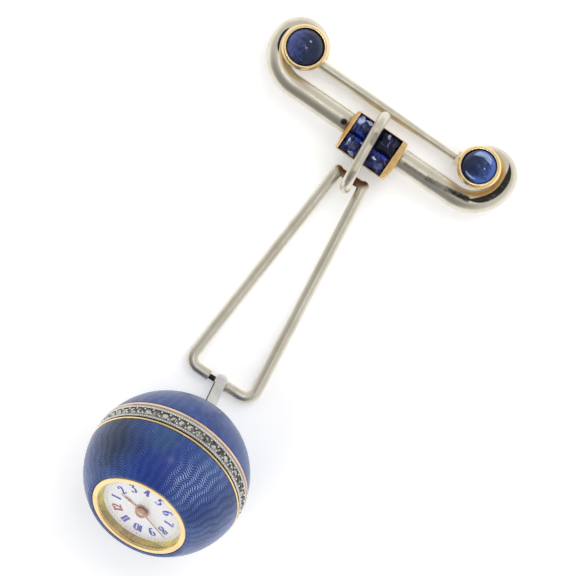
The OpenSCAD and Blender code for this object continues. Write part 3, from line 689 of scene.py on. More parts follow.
def streak(start, end, reach, strength=1.0):
    """A drawn-out patch between two points, for painted shade and painted dark reflections and for darker
    streaks.
    """
    way = Vector(end) - Vector(start)

    def mask(paint):
        from_start = paint.vector("SUBTRACT", paint.place(), tuple(start))
        along = paint.vector("DOT_PRODUCT", from_start, tuple(way / way.length_squared), output=1).clamp()
        nearest = paint.vector("MULTIPLY", paint.joined(along, along, along), tuple(way))
        away = paint.vector("DISTANCE", from_start, nearest, output=1)
        return away.fade(reach * 0.3, reach, strength, 0.0)

    return mask


def any_of(masks):
    """The strongest of several patches."""

    def mask(paint):
        strongest = masks[0](paint)
        for other in masks[1:]:
            strongest = strongest.most(other(paint))
        return strongest

    return mask


def crescent(matrix, radius, width, middle, spread):
    """A curved patch round a frame's axis, in millimetres and degrees, tapering to both its ends."""
    way = Vector((math.cos(math.radians(middle)), math.sin(math.radians(middle))))
    spread = math.radians(spread)

    def mask(paint):
        x, y = paint.seen_from(matrix)[:2]
        flat = (x * x + y * y) ** 0.5
        facing = (x * way.x + y * way.y) / flat
        along = facing.fade(math.cos(spread), math.cos(spread * 0.35))
        off = (flat - radius).size() / (along * width + 0.001)
        return off.fade(0.6, 1.0, 1.0, 0.0) * along.fade(0.0, 0.1)

    return mask


def in_hollows(matrix, half_x, half_y):
    """The painted shade in the hollows of a box, inside its rim, with half sides in millimetres."""
    soft = 0.03

    def mask(paint):
        x, y = paint.seen_from(matrix)[:2]
        across = x.size().fade(half_x - soft, half_x + soft, 1.0, 0.0)
        return across * y.size().fade(half_y - soft, half_y + soft, 1.0, 0.0) * 2.0

    return mask


PLATINUM_ROUGHNESS = 0.36


def handled_metal(name, bright, dull, roughness, scratch, films=()):
    """Metal polished by hand and worn: cloudy patches, fine scratches and a few pits.

    dull is a colour, or the factor that turns the bright one into it, and the last argument holds (mask,
    colour)
    pairs laid on it: real tarnish and oxide, and painted shade and painted reflections.
    """
    if isinstance(dull, float):
        dull = shaded(bright, dull)
    paint = Paint(name)
    place = paint.place()
    clouds = paint.noise(place, 420.0, 4.0)
    fine = paint.noise(place, 2600.0, 2.0)
    scratches = paint.noise(paint.vector("MULTIPLY", place, (5200.0, 700.0, 5200.0)), 1.0, 2.0, 0.7)
    crossed = paint.noise(paint.vector("MULTIPLY", place, (800.0, 6400.0, 6400.0)), 1.0, 2.0, 0.7)
    pits = paint.node("ShaderNodeTexVoronoi", None, {"Vector": place, "Scale": 900.0})
    pitted = pits.fade(0.05, 0.16, 1.0, 0.0)
    shade = paint.mix(clouds.fade(0.35, 0.7), bright, dull)
    rough = roughness + (clouds - 0.5) * 0.16 + (fine - 0.5) * 0.10
    height = scratches * 0.5 + crossed * 0.35 + fine * 0.25 - pitted * 0.4
    for overlay, overlay_colour in films:
        patch = (overlay(paint) * (fine + clouds * 0.8 + 0.2)).clamp()
        shade = paint.mix(patch, shade, overlay_colour)
        rough = rough + patch * 0.2
    paint.set(Base_Color=shade, Metallic=1.0, Roughness=rough.clamp())
    paint.set(Normal=paint.bump(height, scratch, 0.00003))
    return paint.material


# Patches of the enamel in the ball's frame: their middle and how far they reach, in millimetres

# SHADED_WAVES is painted shade on the wave bands, and GLITTER and GLITTER_BY_LINE are painted glitter.
SHADED_WAVES = ((6.5, 3.6, 4.0), 6.8)
GLITTER = ((2.6, 6.8, 4.3), 3.4)
GLITTER_BY_LINE = ((4.3, 7.1, 1.8), 2.6)
# PALE_SIDE is a painted lit side.
PALE_SIDE = ((7.6, -1.0, 3.6), 7.5)
DEEP_BLUE = ((-1.2, 7.0, 4.5), 5.6)
DEEP_BY_GLITTER = ((4.4, 5.3, 4.9), 2.6)
# SLATE_SIDE is a painted dark reflection.
SLATE_SIDE = ((-6.5, 4.6, 2.9), 5.2)
GREEN_PATCH = ((-2.2, 7.8, 1.8), 3.2)
GREEN_BY_LINE = ((3.0, 7.6, 1.6), 2.4)


def guilloche_enamel(name, sizes, colours):
    """Translucent enamel over engine-turned waves, under a glassy coat.

    The waves run round the ball's axis. Their flanks that face away are painted as dark bands of shade
    from the band to the dial, and on the lit side the fine cuts get a painted glitter.
    """
    paint = Paint(name)
    x, y, z = paint.seen_from(ball_frame())
    place = paint.joined(x, y, z)

    def region(patch):
        middle, reach = patch
        away = paint.vector("DISTANCE", place, middle, output=1)
        return away.fade(reach * 0.2, reach, 1.0, 0.0)

    flat = (x * x + y * y) ** 0.5
    turn = y.math("ARCTAN2", x)
    fall = flat.math("ARCTAN2", z) * (sizes.ball_r / MM)
    drift = paint.noise(place, 0.30, 2.0)
    rows = (fall * 2.6 + drift * 4.0).sine()
    phase = turn * sizes.wave_count + rows * 0.8 + (drift - 0.5) * 9.0
    pitch = sizes.engraving_pitch / MM
    cut = ((fall + phase.sine() * (sizes.wave_height / MM)) * (2 * math.pi / pitch)).sine()
    clouds = paint.noise(place, 0.42, 3.0)
    mottle = paint.noise(place, 1.7, 4.0, 0.62)
    grain = paint.noise(place, 5.5, 3.0, 0.6)

    waves = region(SHADED_WAVES)
    glitter = region(GLITTER) + region(GLITTER_BY_LINE) * 0.6 + 0.12
    # band is painted shade on the flanks that face away; lit marks the flanks that face the light.
    band = ((phase + 0.6).sine() * 0.5 + 0.5) ** 2.0
    lit = ((phase - 1.4).sine() * 0.5 + 0.5) ** 1.3
    light = (clouds - 0.5) * 1.9 + (mottle - 0.5) * 1.1 + (grain - 0.5) * 0.5 + 0.24
    # PALE_SIDE adds a painted lit side.
    light = light + cut * 0.25 + region(PALE_SIDE) * 0.45 - band * 0.10 - z.fade(-2.0, -1.0, 0.30, 0.0)
    deep = region(DEEP_BLUE) + region(DEEP_BY_GLITTER) * 0.6 + (mottle - 0.5) * 1.2
    green = region(GREEN_PATCH) * 0.8 + region(GREEN_BY_LINE) * 0.5 + (mottle - 0.62) * 1.6
    # Painted shade on the wave bands and a painted dark reflection on the slate side.
    dark = band * (waves * 0.75 + 0.04) + region(SLATE_SIDE) * 0.95
    dark = dark + (clouds - 0.5) * -0.8 - cut * 0.12 - 0.02
    shade = paint.mix(light.clamp(), colours.enamel, colours.enamel_light)
    shade = paint.mix(deep.clamp(), shade, colours.enamel_deep)
    shade = paint.mix(green.clamp() * 0.8, shade, colours.enamel_green)
    shade = paint.mix(dark.clamp(), shade, colours.enamel_dark)
    # Painted glitter of the cuts that face the light.
    shine = (cut - 0.1).most(0.0) * (lit * 0.8 + 0.2) * glitter * (grain * 2.2)
    shade = paint.mix(shine.clamp(), shade, colours.enamel_glitter)

    swirl = paint.vector("MULTIPLY", paint.noise(place, 0.8, 3.0, output=1), (1.5, 1.5, 1.5))
    crack_map = paint.node(
        "ShaderNodeTexVoronoi", {"feature": "DISTANCE_TO_EDGE"},
        {"Vector": paint.vector("ADD", place, swirl), "Scale": 0.11},
    )
    crack = crack_map.fade(0.0, 0.007, 1.0, 0.0) * z.fade(-2.5, -1.0, 1.0, 0.0)
    shade = paint.mix(crack * 0.8, shade, colours.enamel_dark)
    height = cut * 0.35 + phase.sine() * 0.8
    paint.set(
        Base_Color=shade, Roughness=0.5, Normal=paint.bump(height, 0.25, 0.00003), Specular_IOR_Level=0.2,
        Coat_Weight=0.55, Coat_Roughness=0.2, Coat_IOR=1.45,
    )
    return paint.material


def faceted_sapphire(name, colours, matrix, half, body, glints, seed):
    """Sapphire whose inner reflections are worked into its colour.

    body is how strong its own colour is, and glints are (x, y, width, height, colour name, strength)
    patches in halves of the stone's side.
    """
    paint = Paint(name)
    x, y, z = paint.seen_from(matrix)
    scale = MM / half
    wobble = paint.node("ShaderNodeTexNoise", None, {
        "Vector": paint.joined(x + seed * 3.1, y, z), "Scale": 1.6, "Detail": 2.0,
    }, 1)
    shift_x, shift_y = paint.parts(wobble)[:2]
    across = x * scale + (shift_x - 0.5) * 0.7
    up = y * scale + (shift_y - 0.5) * 0.7
    cells = paint.node(
        "ShaderNodeTexVoronoi", {"distance": "MANHATTAN"},
        {"Vector": paint.joined(across + seed, up, 0.0), "Scale": 3.1}, output=1,
    )
    cell, cell_b, cell_c = paint.parts(cells)
    own = shaded(colours.sapphire, body)
    # Facets painted darker and lighter: painted facet reflections.
    shade = paint.mix(cell.fade(0.1, 0.9), shaded(own, 0.25), own)
    lean = seed * 1.3
    along = across * math.cos(lean) + up * math.sin(lean)
    beside = up * math.cos(lean) - across * math.sin(lean)
    streaks = paint.noise(paint.joined(along * 0.8, beside * 4.2, seed * 2.7), 1.0, 3.0, 0.6)
    shade = paint.mix(streaks.fade(0.54, 0.70) * 0.7 * body, shade, colours.sapphire_grey)
    # Each glint is a painted reflection.
    for glint_x, glint_y, width, height, tone, strength in glints:
        off_x = (across - glint_x) / width
        off_y = (up - glint_y) / height
        patch = (off_x.size() + off_y.size() + (cell_b - 0.5) * 0.6).fade(0.72, 1.12, strength, 0.0)
        shade = paint.mix((patch * (cell_c * 0.9 + 0.4)).clamp(), shade, getattr(colours, tone))
    # Painted shade: the stone darkens towards its girdle.
    edge = (x * scale).size().most((y * scale).size()).fade(0.94, 1.0)
    shade = paint.mix(edge * 0.6, shade, (0.004, 0.005, 0.010))
    nicks = paint.noise(paint.joined(x, y, z), 9.0, 2.0)
    paint.set(
        Base_Color=shade, Roughness=(nicks * 0.10 + 0.03).clamp(), IOR=1.77, Specular_IOR_Level=0.12,
        Normal=paint.bump(nicks, 0.04, 0.00002),
    )
    return paint.material


def cabochon_sapphire(name, matrix, radius, rim, depth, side_light, lit_side, glints, glint_colour):
    """A domed sapphire with painted light: a bright rim, a dark middle of painted reflection, light on one
    side and inner crescents of painted reflection.

    glints are (radius share, width share, middle, spread) crescents, their angles in degrees.
    """
    paint = Paint(name)
    x, y, z = paint.seen_from(matrix)
    place = paint.joined(x, y, z)
    scale = MM / radius
    clouds = paint.noise(place, 0.9, 4.0, 0.62)
    veins = paint.noise(paint.vector("MULTIPLY", place, (0.6, 2.2, 1.0)), 1.3, 4.0, 0.65)
    flat = (x * x + y * y) ** 0.5 * scale
    side = (x * math.cos(lit_side) + y * math.sin(lit_side)) * scale
    mottle = paint.noise(place, 2.3, 3.0, 0.6)
    # A bright rim on one side round a darker middle: painted light round a painted dark reflection.
    ring = (flat + (clouds - 0.5) * 0.5).fade(0.55, 0.85) * (side + (mottle - 0.5) * 0.6).fade(-0.55, 0.05)
    shade = paint.mix(ring, depth, rim)
    # Painted light on one side.
    side_lit = (side + (clouds - 0.5) * 1.2 + (mottle - 0.5) * 1.8).fade(-0.2, 1.1)
    shade = paint.mix(side_lit * 0.85, shade, side_light)
    shade = paint.mix(veins.fade(0.50, 0.68) * 0.7, shade, shaded(depth, 0.45))
    # Inner crescents of painted reflection.
    for share_r, width, middle, spread in glints:
        shape = crescent(matrix, share_r / scale, width / scale, middle, spread)
        shade = paint.mix(shape(paint) * (veins.fade(0.35, 0.60) * 0.35 + 0.5), shade, glint_colour)
    # Painted shadow round the stone's edge in its collet.
    shade = paint.mix(flat.fade(0.965, 0.995), shade, (0.01, 0.01, 0.015))
    rub = paint.noise(place, 6.0, 3.0)
    paint.set(
        Base_Color=shade, Roughness=(rub * 0.12 + 0.04).clamp(), IOR=1.77, Specular_IOR_Level=0.14,
        Normal=paint.bump(rub, 0.05, 0.00003),
    )
    return paint.material


def old_cut_diamond(name, shade):
    """Grey, lively stones whose facets swing between dark and bright: painted facet reflections."""
    paint = Paint(name)
    place = paint.place()
    cells = paint.node("ShaderNodeTexVoronoi", None, {"Vector": place, "Scale": 3000.0}, output=1)
    value = paint.parts(cells)[0]
    dark = shaded(shade, 0.10)
    bright = tuple(min(1.0, part * 2.9) for part in shade)
    mixed = paint.mix(value.fade(0.40, 0.75), dark, bright)
    paint.set(Base_Color=mixed, Metallic=0.2, Roughness=(value * 0.08 + 0.02).clamp(), IOR=2.0)
    return paint.material


def dial_enamel(name, shade):
    """White dial enamel with a breath of unevenness."""
    paint = Paint(name)
    place = paint.place()
    clouds = paint.noise(place, 500.0, 3.0)
    warm = (shade[0] * 0.95, shade[1] * 0.95, shade[2] * 0.88)
    specks = paint.noise(place, 5200.0, 2.0)
    mixed = paint.mix(clouds.fade(0.45, 0.75), shade, warm)
    mixed = paint.mix(specks.fade(0.70, 0.80) * 0.5, mixed, (0.35, 0.30, 0.22))
    paint.set(
        Base_Color=mixed, Roughness=(clouds * 0.2 + 0.12).clamp(),
        Normal=paint.bump(clouds, 0.05, 0.00002), Coat_Weight=0.3, Coat_Roughness=0.05,
    )
    return paint.material


def fired_paint(name, shade):
    """Paint of the numerals, a little worn and uneven."""
    paint = Paint(name)
    place = paint.place()
    grain = paint.noise(place, 3800.0, 3.0)
    pale = tuple(part * 0.7 + 0.14 for part in shade)
    mixed = paint.mix(grain.fade(0.55, 0.80) * 0.4, shade, pale)
    paint.set(Base_Color=mixed, Roughness=(grain * 0.3 + 0.2).clamp(), Normal=paint.bump(grain, 0.1, 0.00001))
    return paint.material


def watch_glass(name):
    """Clear glass that mostly lets the dial through and carries a soft reflection."""
    paint = Paint(name)
    rub = paint.noise(paint.place(), 900.0, 3.0)
    glance = paint.node("ShaderNodeLayerWeight", None, {"Blend": 0.5}, 1) ** 3.0
    paint.set(
        Base_Color=(0.97, 0.98, 1.0), Roughness=(rub * 0.06).clamp(), Alpha=(glance * 0.5 + 0.03).clamp(),
        IOR=1.5, Normal=paint.bump(rub, 0.02, 0.00002),
    )
    return paint.material


def smooth_shading():
    """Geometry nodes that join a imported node's faces and smooth all but its edges."""
    tree = bpy.data.node_groups.new("smooth_to_edges", "GeometryNodeTree")
    tree.interface.new_socket("Geometry", in_out="INPUT", socket_type="NodeSocketGeometry")
    tree.interface.new_socket("Geometry", in_out="OUTPUT", socket_type="NodeSocketGeometry")
    graph = Graph(tree)
    start = graph.node("NodeGroupInput")
    weld = graph.node("GeometryNodeMergeByDistance", None, {"Geometry": start, "Distance": PACKED_WELD})
    edge_turn = graph.node("GeometryNodeInputMeshEdgeAngle", output="Unsigned Angle")
    gentle = graph.node(
        "FunctionNodeCompare", {"data_type": "FLOAT", "operation": "LESS_EQUAL"},
        {"A": edge_turn, "B": SMOOTH_BELOW},
    )
    faces = graph.node("GeometryNodeSetShadeSmooth", None, {"Geometry": weld})
    edges = graph.node(
        "GeometryNodeSetShadeSmooth", {"domain": "EDGE"}, {"Geometry": faces, "Shade Smooth": gentle},
    )
    graph.end("NodeGroupOutput", 0, edges)
    return tree


def dress(node, material, smooth=True):
    """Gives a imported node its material, and smooth faces between its edges."""
    made = frame["nodes"][node]
    made.data.materials.clear()
    made.data.materials.append(material)
    if smooth:
        modifier = made.modifiers.new("smooth_to_edges", "NODES")
        modifier.node_group = bpy.data.node_groups.get("smooth_to_edges") or smooth_shading()


def softened(node, name, body, material, width):
    """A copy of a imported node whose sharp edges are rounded, in that node's place."""
    work = bmesh.new()
    work.from_mesh(frame["nodes"][node].data)
    bmesh.ops.remove_doubles(work, verts=work.verts, dist=PACKED_WELD)
    bmesh.ops.dissolve_limit(work, angle_limit=math.radians(1), verts=work.verts, edges=work.edges)
    limit = math.radians(35)
    edges = [edge for edge in work.edges if len(edge.link_faces) == 2 and edge.calc_face_angle(0.0) > limit]
    bmesh.ops.bevel(
        work, geom=edges, offset=width, offset_type="OFFSET", segments=3, profile=0.5, affect="EDGES",
        clamp_overlap=True,
    )
    mesh = bpy.data.meshes.new(name)
    work.to_mesh(mesh)
    work.free()
    return shown(mesh, name, body, material, 30, [node])


def platinum(context, name="worn_platinum", films=()):
    """The platinum of the bar, pin, loop, link and cap, which is made once for each name."""
    colours = numbers(context, "pin_colours")
    return bpy.data.materials.get(name) or handled_metal(
        name, colours.platinum, colours.platinum_worn, PLATINUM_ROUGHNESS, 0.14, films,
    )


def yellow_gold(context):
    """The yellow gold of the collets, the bezel, the lower gold line and the minute track, made once."""
    gold = numbers(context, "pin_colours").gold
    return bpy.data.materials.get("yellow_gold") or handled_metal("yellow_gold", gold, 0.85, 0.22, 0.16)


class PieceOperator(bpy.types.Operator):
    """Makes a piece of the watch pin."""

    bl_options = {"REGISTER", "UNDO"}

    def execute(self, context):
        self.make(context)
        return {"FINISHED"}


# The dark side of the tent, and where along it the light falls off
DARK_SIDE = Vector((-0.20, -0.78, 0.60))
DARK_SPREAD = (0.50, 0.88)

# Name, place, width and power of each lamp; only the small ones are mirrored in the metal
LAMPS = (
    ("spark_lamp_left", (-0.06, 0.16, 0.50), 0.05, 0.07),
    ("spark_lamp_right", (0.16, 0.02, 0.50), 0.05, 0.06),
    ("wide_lamp", (0.15, 0.55, 0.55), 0.6, 1.8),
    ("fill_lamp", (-0.16, -0.40, 0.40), 0.4, 1.2),
)
SPARK_WIDTH_LIMIT = 0.1
SENSOR_WIDTH = 36.0


class WATCHPIN_OT_stage(PieceOperator):
    """Lays the floor, hangs the tent and the lamps and sets the camera over the brooch"""

    bl_idname = "watch_pin.stage"
    bl_label = "Stage"

    def make(self, context):
        sizes = numbers(context, "pin_stage")
        self.camera(context, sizes)
        self.floor(context, sizes)
        self.tent(context, sizes)
        self.lamps(context)
        context.scene.view_settings.view_transform = "Standard"

    def camera(self, context, sizes):
        data = bpy.data.cameras.new("camera")
        data.sensor_width = SENSOR_WIDTH
        data.lens = SENSOR_WIDTH * sizes.camera_h / sizes.view_w
        data.clip_start = 0.05
        data.clip_end = 10.0
        made = bpy.data.objects.new("camera", data)
        made.location = (sizes.view_x, sizes.view_y, sizes.camera_h)
        made.rotation_euler = (0.0, 0.0, sizes.view_roll)
        context.scene.collection.objects.link(made)
        context.scene.camera = made

    def floor(self, context, sizes):
        half = sizes.floor_w / 2
        mesh = bpy.data.meshes.new("floor")
        corners = [(-half, -half, 0), (half, -half, 0), (half, half, 0), (-half, half, 0)]
        mesh.from_pydata(corners, [], [(0, 1, 2, 3)])
        made = bpy.data.objects.new("floor", mesh)
        context.scene.collection.objects.link(made)
        paint = Paint("floor_paper")
        grain = paint.noise(paint.place(), 300.0, 2.0)
        light = sizes.floor_colour
        shade = paint.mix(grain, light, shaded(light, 0.985))
        paint.set(Base_Color=shade, Roughness=0.9, Specular_IOR_Level=0.1)
        paint.set(Emission_Color=shade, Emission_Strength=sizes.floor_glow)
        mesh.materials.append(paint.material)

    def tent(self, context, sizes):
        """A white tent whose left front side is darker."""
        world = bpy.data.worlds.new("tent")
        world.use_nodes = True
        context.scene.world = world
        graph = Graph(world.node_tree)
        towards = graph.vector(
            "DOT_PRODUCT", graph.node("ShaderNodeTexCoord"), DARK_SIDE.normalized(), output="Value",
        )
        strength = towards.fade(*DARK_SPREAD, sizes.tent, sizes.card)
        seen = graph.node("ShaderNodeLightPath", output="Is Camera Ray")
        shown_strength = graph.node("ShaderNodeMix", {"data_type": "FLOAT"}, {0: seen, 2: strength, 3: 1.0})
        back = graph.node("ShaderNodeBackground", None, {"Strength": shown_strength})
        graph.end("ShaderNodeOutputWorld", "Surface", back)

    def lamps(self, context):
        """Two small soft boxes for the sparks in the stones, and two wide ones that only light."""
        for name, place, width, power in LAMPS:
            data = bpy.data.lights.new(name, "AREA")
            data.size = width
            data.energy = power
            made = bpy.data.objects.new(name, data)
            made.location = place
            made.visible_glossy = width < SPARK_WIDTH_LIMIT
            made.rotation_euler = (-Vector(place)).to_track_quat("-Z", "Y").to_euler()
            context.scene.collection.objects.link(made)


# The quarter round at a tube's end, and how far along the eye's curl the tube keeps its full radius

EDGE_STEPS = 4
EYE_EDGE_START = 0.985

# Painted light on the bar, and a dark spot by the box, in millimetres and degrees: painted dark reflections
# along the right tube and in its curl, a painted gold reflection by the right collet and a painted shadow by
# the left collet. Routes and marks are x and y from its middle, and crescents are radius, width, middle and
# spread.

DARK_REFLECTION_ROUTE = ((4.0, -0.43), (6.7, -0.36), (8.9, -0.14), (11.3, 0.23))
DARK_REFLECTION_REACHES = (0.26, 0.38, 0.44)
DARK_REFLECTION_STRENGTHS = (0.5, 0.65, 0.85)
MARK_BY_BOX = (-3.55, -0.4)
MARK_REACH = 0.5
GOLD_REFLECTION = (2.6, 0.36, -8, 95)
CURL_DARK_REFLECTION = (3.66, 0.42, -16, 58)
COLLET_SHADOW = (2.66, 0.15, 190, 36)


class WATCHPIN_OT_bar(PieceOperator):
    """Bends the platinum tube of the brooch, a half on each side of the box"""

    bl_idname = "watch_pin.bar"
    bl_label = "Bar"

    def make(self, context):
        sizes = numbers(context, "pin_brooch")
        change = sizes.curl_change
        eye_x = sizes.straight_half + (sizes.curl_r - sizes.eye_curl_r) * math.cos(change)
        eye_y = sizes.curl_r + (sizes.curl_r - sizes.eye_curl_r) * math.sin(change)
        turns = circle(48)

        def straight(along, r):
            return [(along, -r * math.cos(turn), r * math.sin(turn)) for turn in turns]

        def curl(at):
            ring = []
            for turn in turns:
                reach = sizes.curl_r + sizes.tube_r * math.cos(turn)
                x = sizes.straight_half + reach * math.cos(at)
                ring.append((x, sizes.curl_r + reach * math.sin(at), sizes.tube_r * math.sin(turn)))
            return ring

        def eye(part, r):
            ring = []
            for turn in turns:
                reach = sizes.eye_curl_r + r * math.cos(turn)
                end = math.pi - math.asin((sizes.curl_cut - eye_y) / reach)
                at = change + part * (end - change)
                ring.append((eye_x + reach * math.cos(at), eye_y + reach * math.sin(at), r * math.sin(turn)))
            return ring

        edge = sizes.tube_edge
        rings = [straight(sizes.tube_start, sizes.rod_r)]
        for part in steps(0, math.pi / 2, EDGE_STEPS):
            inset = edge * (1 - math.sin(part))
            rings.append(straight(sizes.tube_start + edge * (1 - math.cos(part)), sizes.tube_r - inset))
        for along in steps(sizes.tube_start + 2 * edge, sizes.straight_half, 8)[:-1]:
            rings.append(straight(along, sizes.tube_r))
        rings += [curl(at) for at in steps(-math.pi / 2, change, 28)]
        rings += [eye(part, sizes.tube_r) for part in steps(0, EYE_EDGE_START, 44)[1:]]
        rings += [eye(1.0, sizes.tube_r - 0.4 * edge)]
        mirrored = [[(-x, y, z) for x, y, z in ring] for ring in reversed(rings)]
        for ring in mirrored[-EDGE_STEPS - 1:]:
            ring[:] = [(x + sizes.tube_reach, y, z) for x, y, z in ring]
        place = brooch_frame(sizes)
        shape = Shape().tube(mirrored + rings, matrix=place)
        metal = platinum(context, "bar_platinum", self.films(context, sizes, place))
        shape.piece("platinum_bar", "root", "platinum", metal, 40, ["bar"])

    def films(self, context, sizes, place):
        """Painted gold reflection by the right collet, a dark spot by the box, painted dark reflections along
        the right tube and in its curl, and a painted shadow by the left collet.
        """
        colours = numbers(context, "pin_colours")
        oxide = colours.oxide

        def on_front(x, y):
            return place @ Vector((x * MM, y * MM, off_axis(sizes.tube_r, y * MM)))

        route = [on_front(x, y) for x, y in DARK_REFLECTION_ROUTE]
        streaks = [
            streak(start, end, reach * MM, strength)
            for start, end, reach, strength in zip(route, route[1:], DARK_REFLECTION_REACHES, DARK_REFLECTION_STRENGTHS)
        ]
        right_curl = place @ Matrix.Translation((sizes.straight_half, sizes.curl_r, 0))
        left_collet = place @ Matrix.Translation((-sizes.left_collet_x, sizes.left_collet_y, 0))
        right_collet = place @ Matrix.Translation((sizes.right_collet_x, sizes.right_collet_y, 0))
        # In turn: a painted gold reflection, a dark spot, painted dark reflections along the tube and in the
        # curl, and a painted shadow.
        return (
            (crescent(right_collet, *GOLD_REFLECTION), shaded(colours.gold, 0.8)),
            (spot(on_front(*MARK_BY_BOX), MARK_REACH * MM), oxide),
            (any_of(streaks), oxide),
            (crescent(right_curl, *CURL_DARK_REFLECTION), oxide),
            (crescent(left_collet, *COLLET_SHADOW), oxide),
        )


class WATCHPIN_OT_box_setting(PieceOperator):
    """Finishes the gold box and its four square sapphires"""

    bl_idname = "watch_pin.box_setting"
    bl_label = "Box and square sapphires"

    def make(self, context):
        sizes, colours = sizes_and_colours(context, "pin_brooch")
        self.box(sizes, colours)
        turn = brooch_frame(sizes).to_3x3().to_4x4()
        for index, (body, *glints) in enumerate(SAPPHIRE_GLINTS):
            node = f"square_sapphire_{index + 1}"
            low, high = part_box(node)
            middle = (Vector(low) + Vector(high)) / 2
            place = Matrix.Translation(middle) @ turn
            half = (high[0] - low[0]) / 2
            stone = faceted_sapphire(f"sapphire_{index + 1}", colours, place, half, body, glints, index + 1)
            dress(node, stone, smooth=False)

    def box(self, sizes, colours):
        """The gold box with its rounded ends and the painted shade between its stones."""
        place = brooch_frame(sizes)
        points = [place.inverted() @ vertex.co for vertex in frame["nodes"]["box_setting"].data.vertices]
        back, front = min(point.z for point in points), max(point.z for point in points)
        low, high = min(point.y for point in points), max(point.y for point in points)
        middle = (low + high) / 2
        inner_x = sizes.box_inner_x
        inner_low, inner_high = middle - sizes.box_inner_y, middle + sizes.box_inner_y
        outline = [(x * MM, y * MM) for y, x in smooth_line(RIGHT_END)]
        outline += [(-x * MM, y * MM) for y, x in smooth_line(LEFT_END)]
        shape = Shape()
        rim = []
        slope = math.tan(sizes.box_undercut)
        foot = low + (front - back) * slope
        lip_drop = Vector((0, 0, -BOX_LIP_DROP * MM))
        for x, y in outline:
            outer = Vector((x, y, front))
            inner = Vector((math.copysign(inner_x, x), min(max(y, inner_low), inner_high), front))
            lip = Vector((inner.x, min(max(y, inner_low + sizes.box_lip), inner_high - sizes.box_lip), front))
            wall = lip - outer
            edge = min(sizes.box_edge, wall.length * 0.45)
            down = Vector((0, 0, -edge))
            slant = wall.normalized() * edge
            rim.append([
                Vector((x, max(y, foot), back)), outer + down, outer + (slant + down) * BOX_EDGE_FULLNESS,
                outer + slant, lip, lip + lip_drop, inner + lip_drop * 2,
                Vector((inner.x, max(inner.y, foot), back)),
            ])
        shape.tube(rim, closed=True, matrix=place)
        for half_x, low_y, high_y, top in (
            (sizes.box_channel / 2, inner_low, inner_high, front - sizes.channel_depth),
            (inner_x, middle - sizes.stone_gap / 2, middle + sizes.stone_gap / 2, front - sizes.stone_gap),
            (inner_x, inner_low, inner_high, front - sizes.stone_depth - sizes.stone_gap),
        ):
            rings = []
            for z in (back, top):
                near_y = max(low_y, low + (front - z) * slope + sizes.box_lip)
                corners = ((-half_x, near_y), (half_x, near_y), (half_x, high_y), (-half_x, high_y))
                rings.append([(x, y, z) for x, y in corners])
            shape.tube(rings, matrix=place)
        centre = place @ Matrix.Translation((0, middle, 0))
        within = in_hollows(centre, inner_x / MM - HOLLOW_MARGIN, sizes.box_inner_y / MM)

        def hollow(paint):
            y, z = paint.seen_from(place)[1:]
            from_wall = y + z * slope - (low + front * slope) / MM
            return within(paint) * from_wall.fade(*WALL_FADE)

        # Painted shade in the box's hollows, in a dark sapphire colour.
        overlay = (hollow, shaded(colours.sapphire, 0.7))
        gold = handled_metal("box_gold", colours.gold, colours.gold_deep, 0.26, 0.5, (overlay,))
        shape.piece("gold_box", "root", "gold", gold, 30, ["box_setting"])


# Height and reach of the box's two ends, in millimetres from the bar's middle

RIGHT_END = ((-3.26, 2.76), (-3.18, 2.92), (-2.8, 3.10), (-2.0, 3.27), (-1.0, 3.36), (0.2, 3.32), (0.8, 3.26),
             (1.2, 3.18), (1.38, 3.02))
LEFT_END = ((1.38, 2.74), (1.15, 2.98), (0.5, 3.10), (-0.4, 3.08), (-1.2, 3.02), (-2.2, 2.90), (-3.0, 2.80),
            (-3.26, 2.70))
BOX_EDGE_FULLNESS = 0.3
BOX_LIP_DROP = 0.06
HOLLOW_MARGIN = 0.01
WALL_FADE = (0.04, 0.10)

# For each square stone, how strong its own colour is, and then its glints of painted reflection

SAPPHIRE_GLINTS = (
    (
        1.7, (-0.66, 0.38, 0.24, 0.80, "sapphire_flash", 0.95),
        (0.22, 0.66, 0.66, 0.20, "sapphire_flash", 0.95), (0.78, -0.15, 0.18, 0.55, "sapphire_blue", 1.0),
        (0.0, 0.1, 0.5, 0.4, "sapphire_grey", 0.6),
        (0.1, -0.78, 0.60, 0.22, "sapphire_blue", 0.9),
    ),
    (
        0.4, (-0.25, 0.60, 0.26, 0.24, "sapphire_flash", 0.75),
        (0.05, 0.15, 0.16, 0.60, "sapphire_grey", 0.9),
        (-0.45, -0.3, 0.45, 0.10, "sapphire_grey", 0.8), (0.55, 0.3, 0.3, 0.5, "sapphire_grey", 0.3),
    ),
    (
        1.5, (-0.62, 0.05, 0.13, 0.45, "sapphire_flash", 0.9), (0.20, 0.74, 0.60, 0.22, "sapphire_blue", 1.0),
        (-0.1, -0.1, 0.55, 0.45, "sapphire_grey", 0.8), (0.35, -0.74, 0.50, 0.13, "sapphire_flash", 0.7),
        (0.74, 0.66, 0.24, 0.20, "dial_white", 1.0),
    ),
    (
        1.5, (0.15, 0.70, 0.65, 0.22, "sapphire_blue", 1.0), (-0.40, 0.10, 0.12, 0.36, "sapphire_flash", 1.0),
        (-0.55, 0.60, 0.28, 0.28, "sapphire_blue", 0.8), (0.35, -0.30, 0.60, 0.45, "sapphire_grey", 0.8),
    ),
)


COLLET_BELT = (0.62, 0.70)

# For each cabochon, the side of its painted light in degrees, and then its inner crescents of painted
# reflection

CABOCHON_LIGHT = {
    "left": (195, ((0.30, 0.06, 74, 16), (0.16, 0.05, 300, 26))),
    "right": (20, ((0.64, 0.20, 92, 64), (0.82, 0.06, 262, 30), (0.40, 0.05, -10, 9))),
}


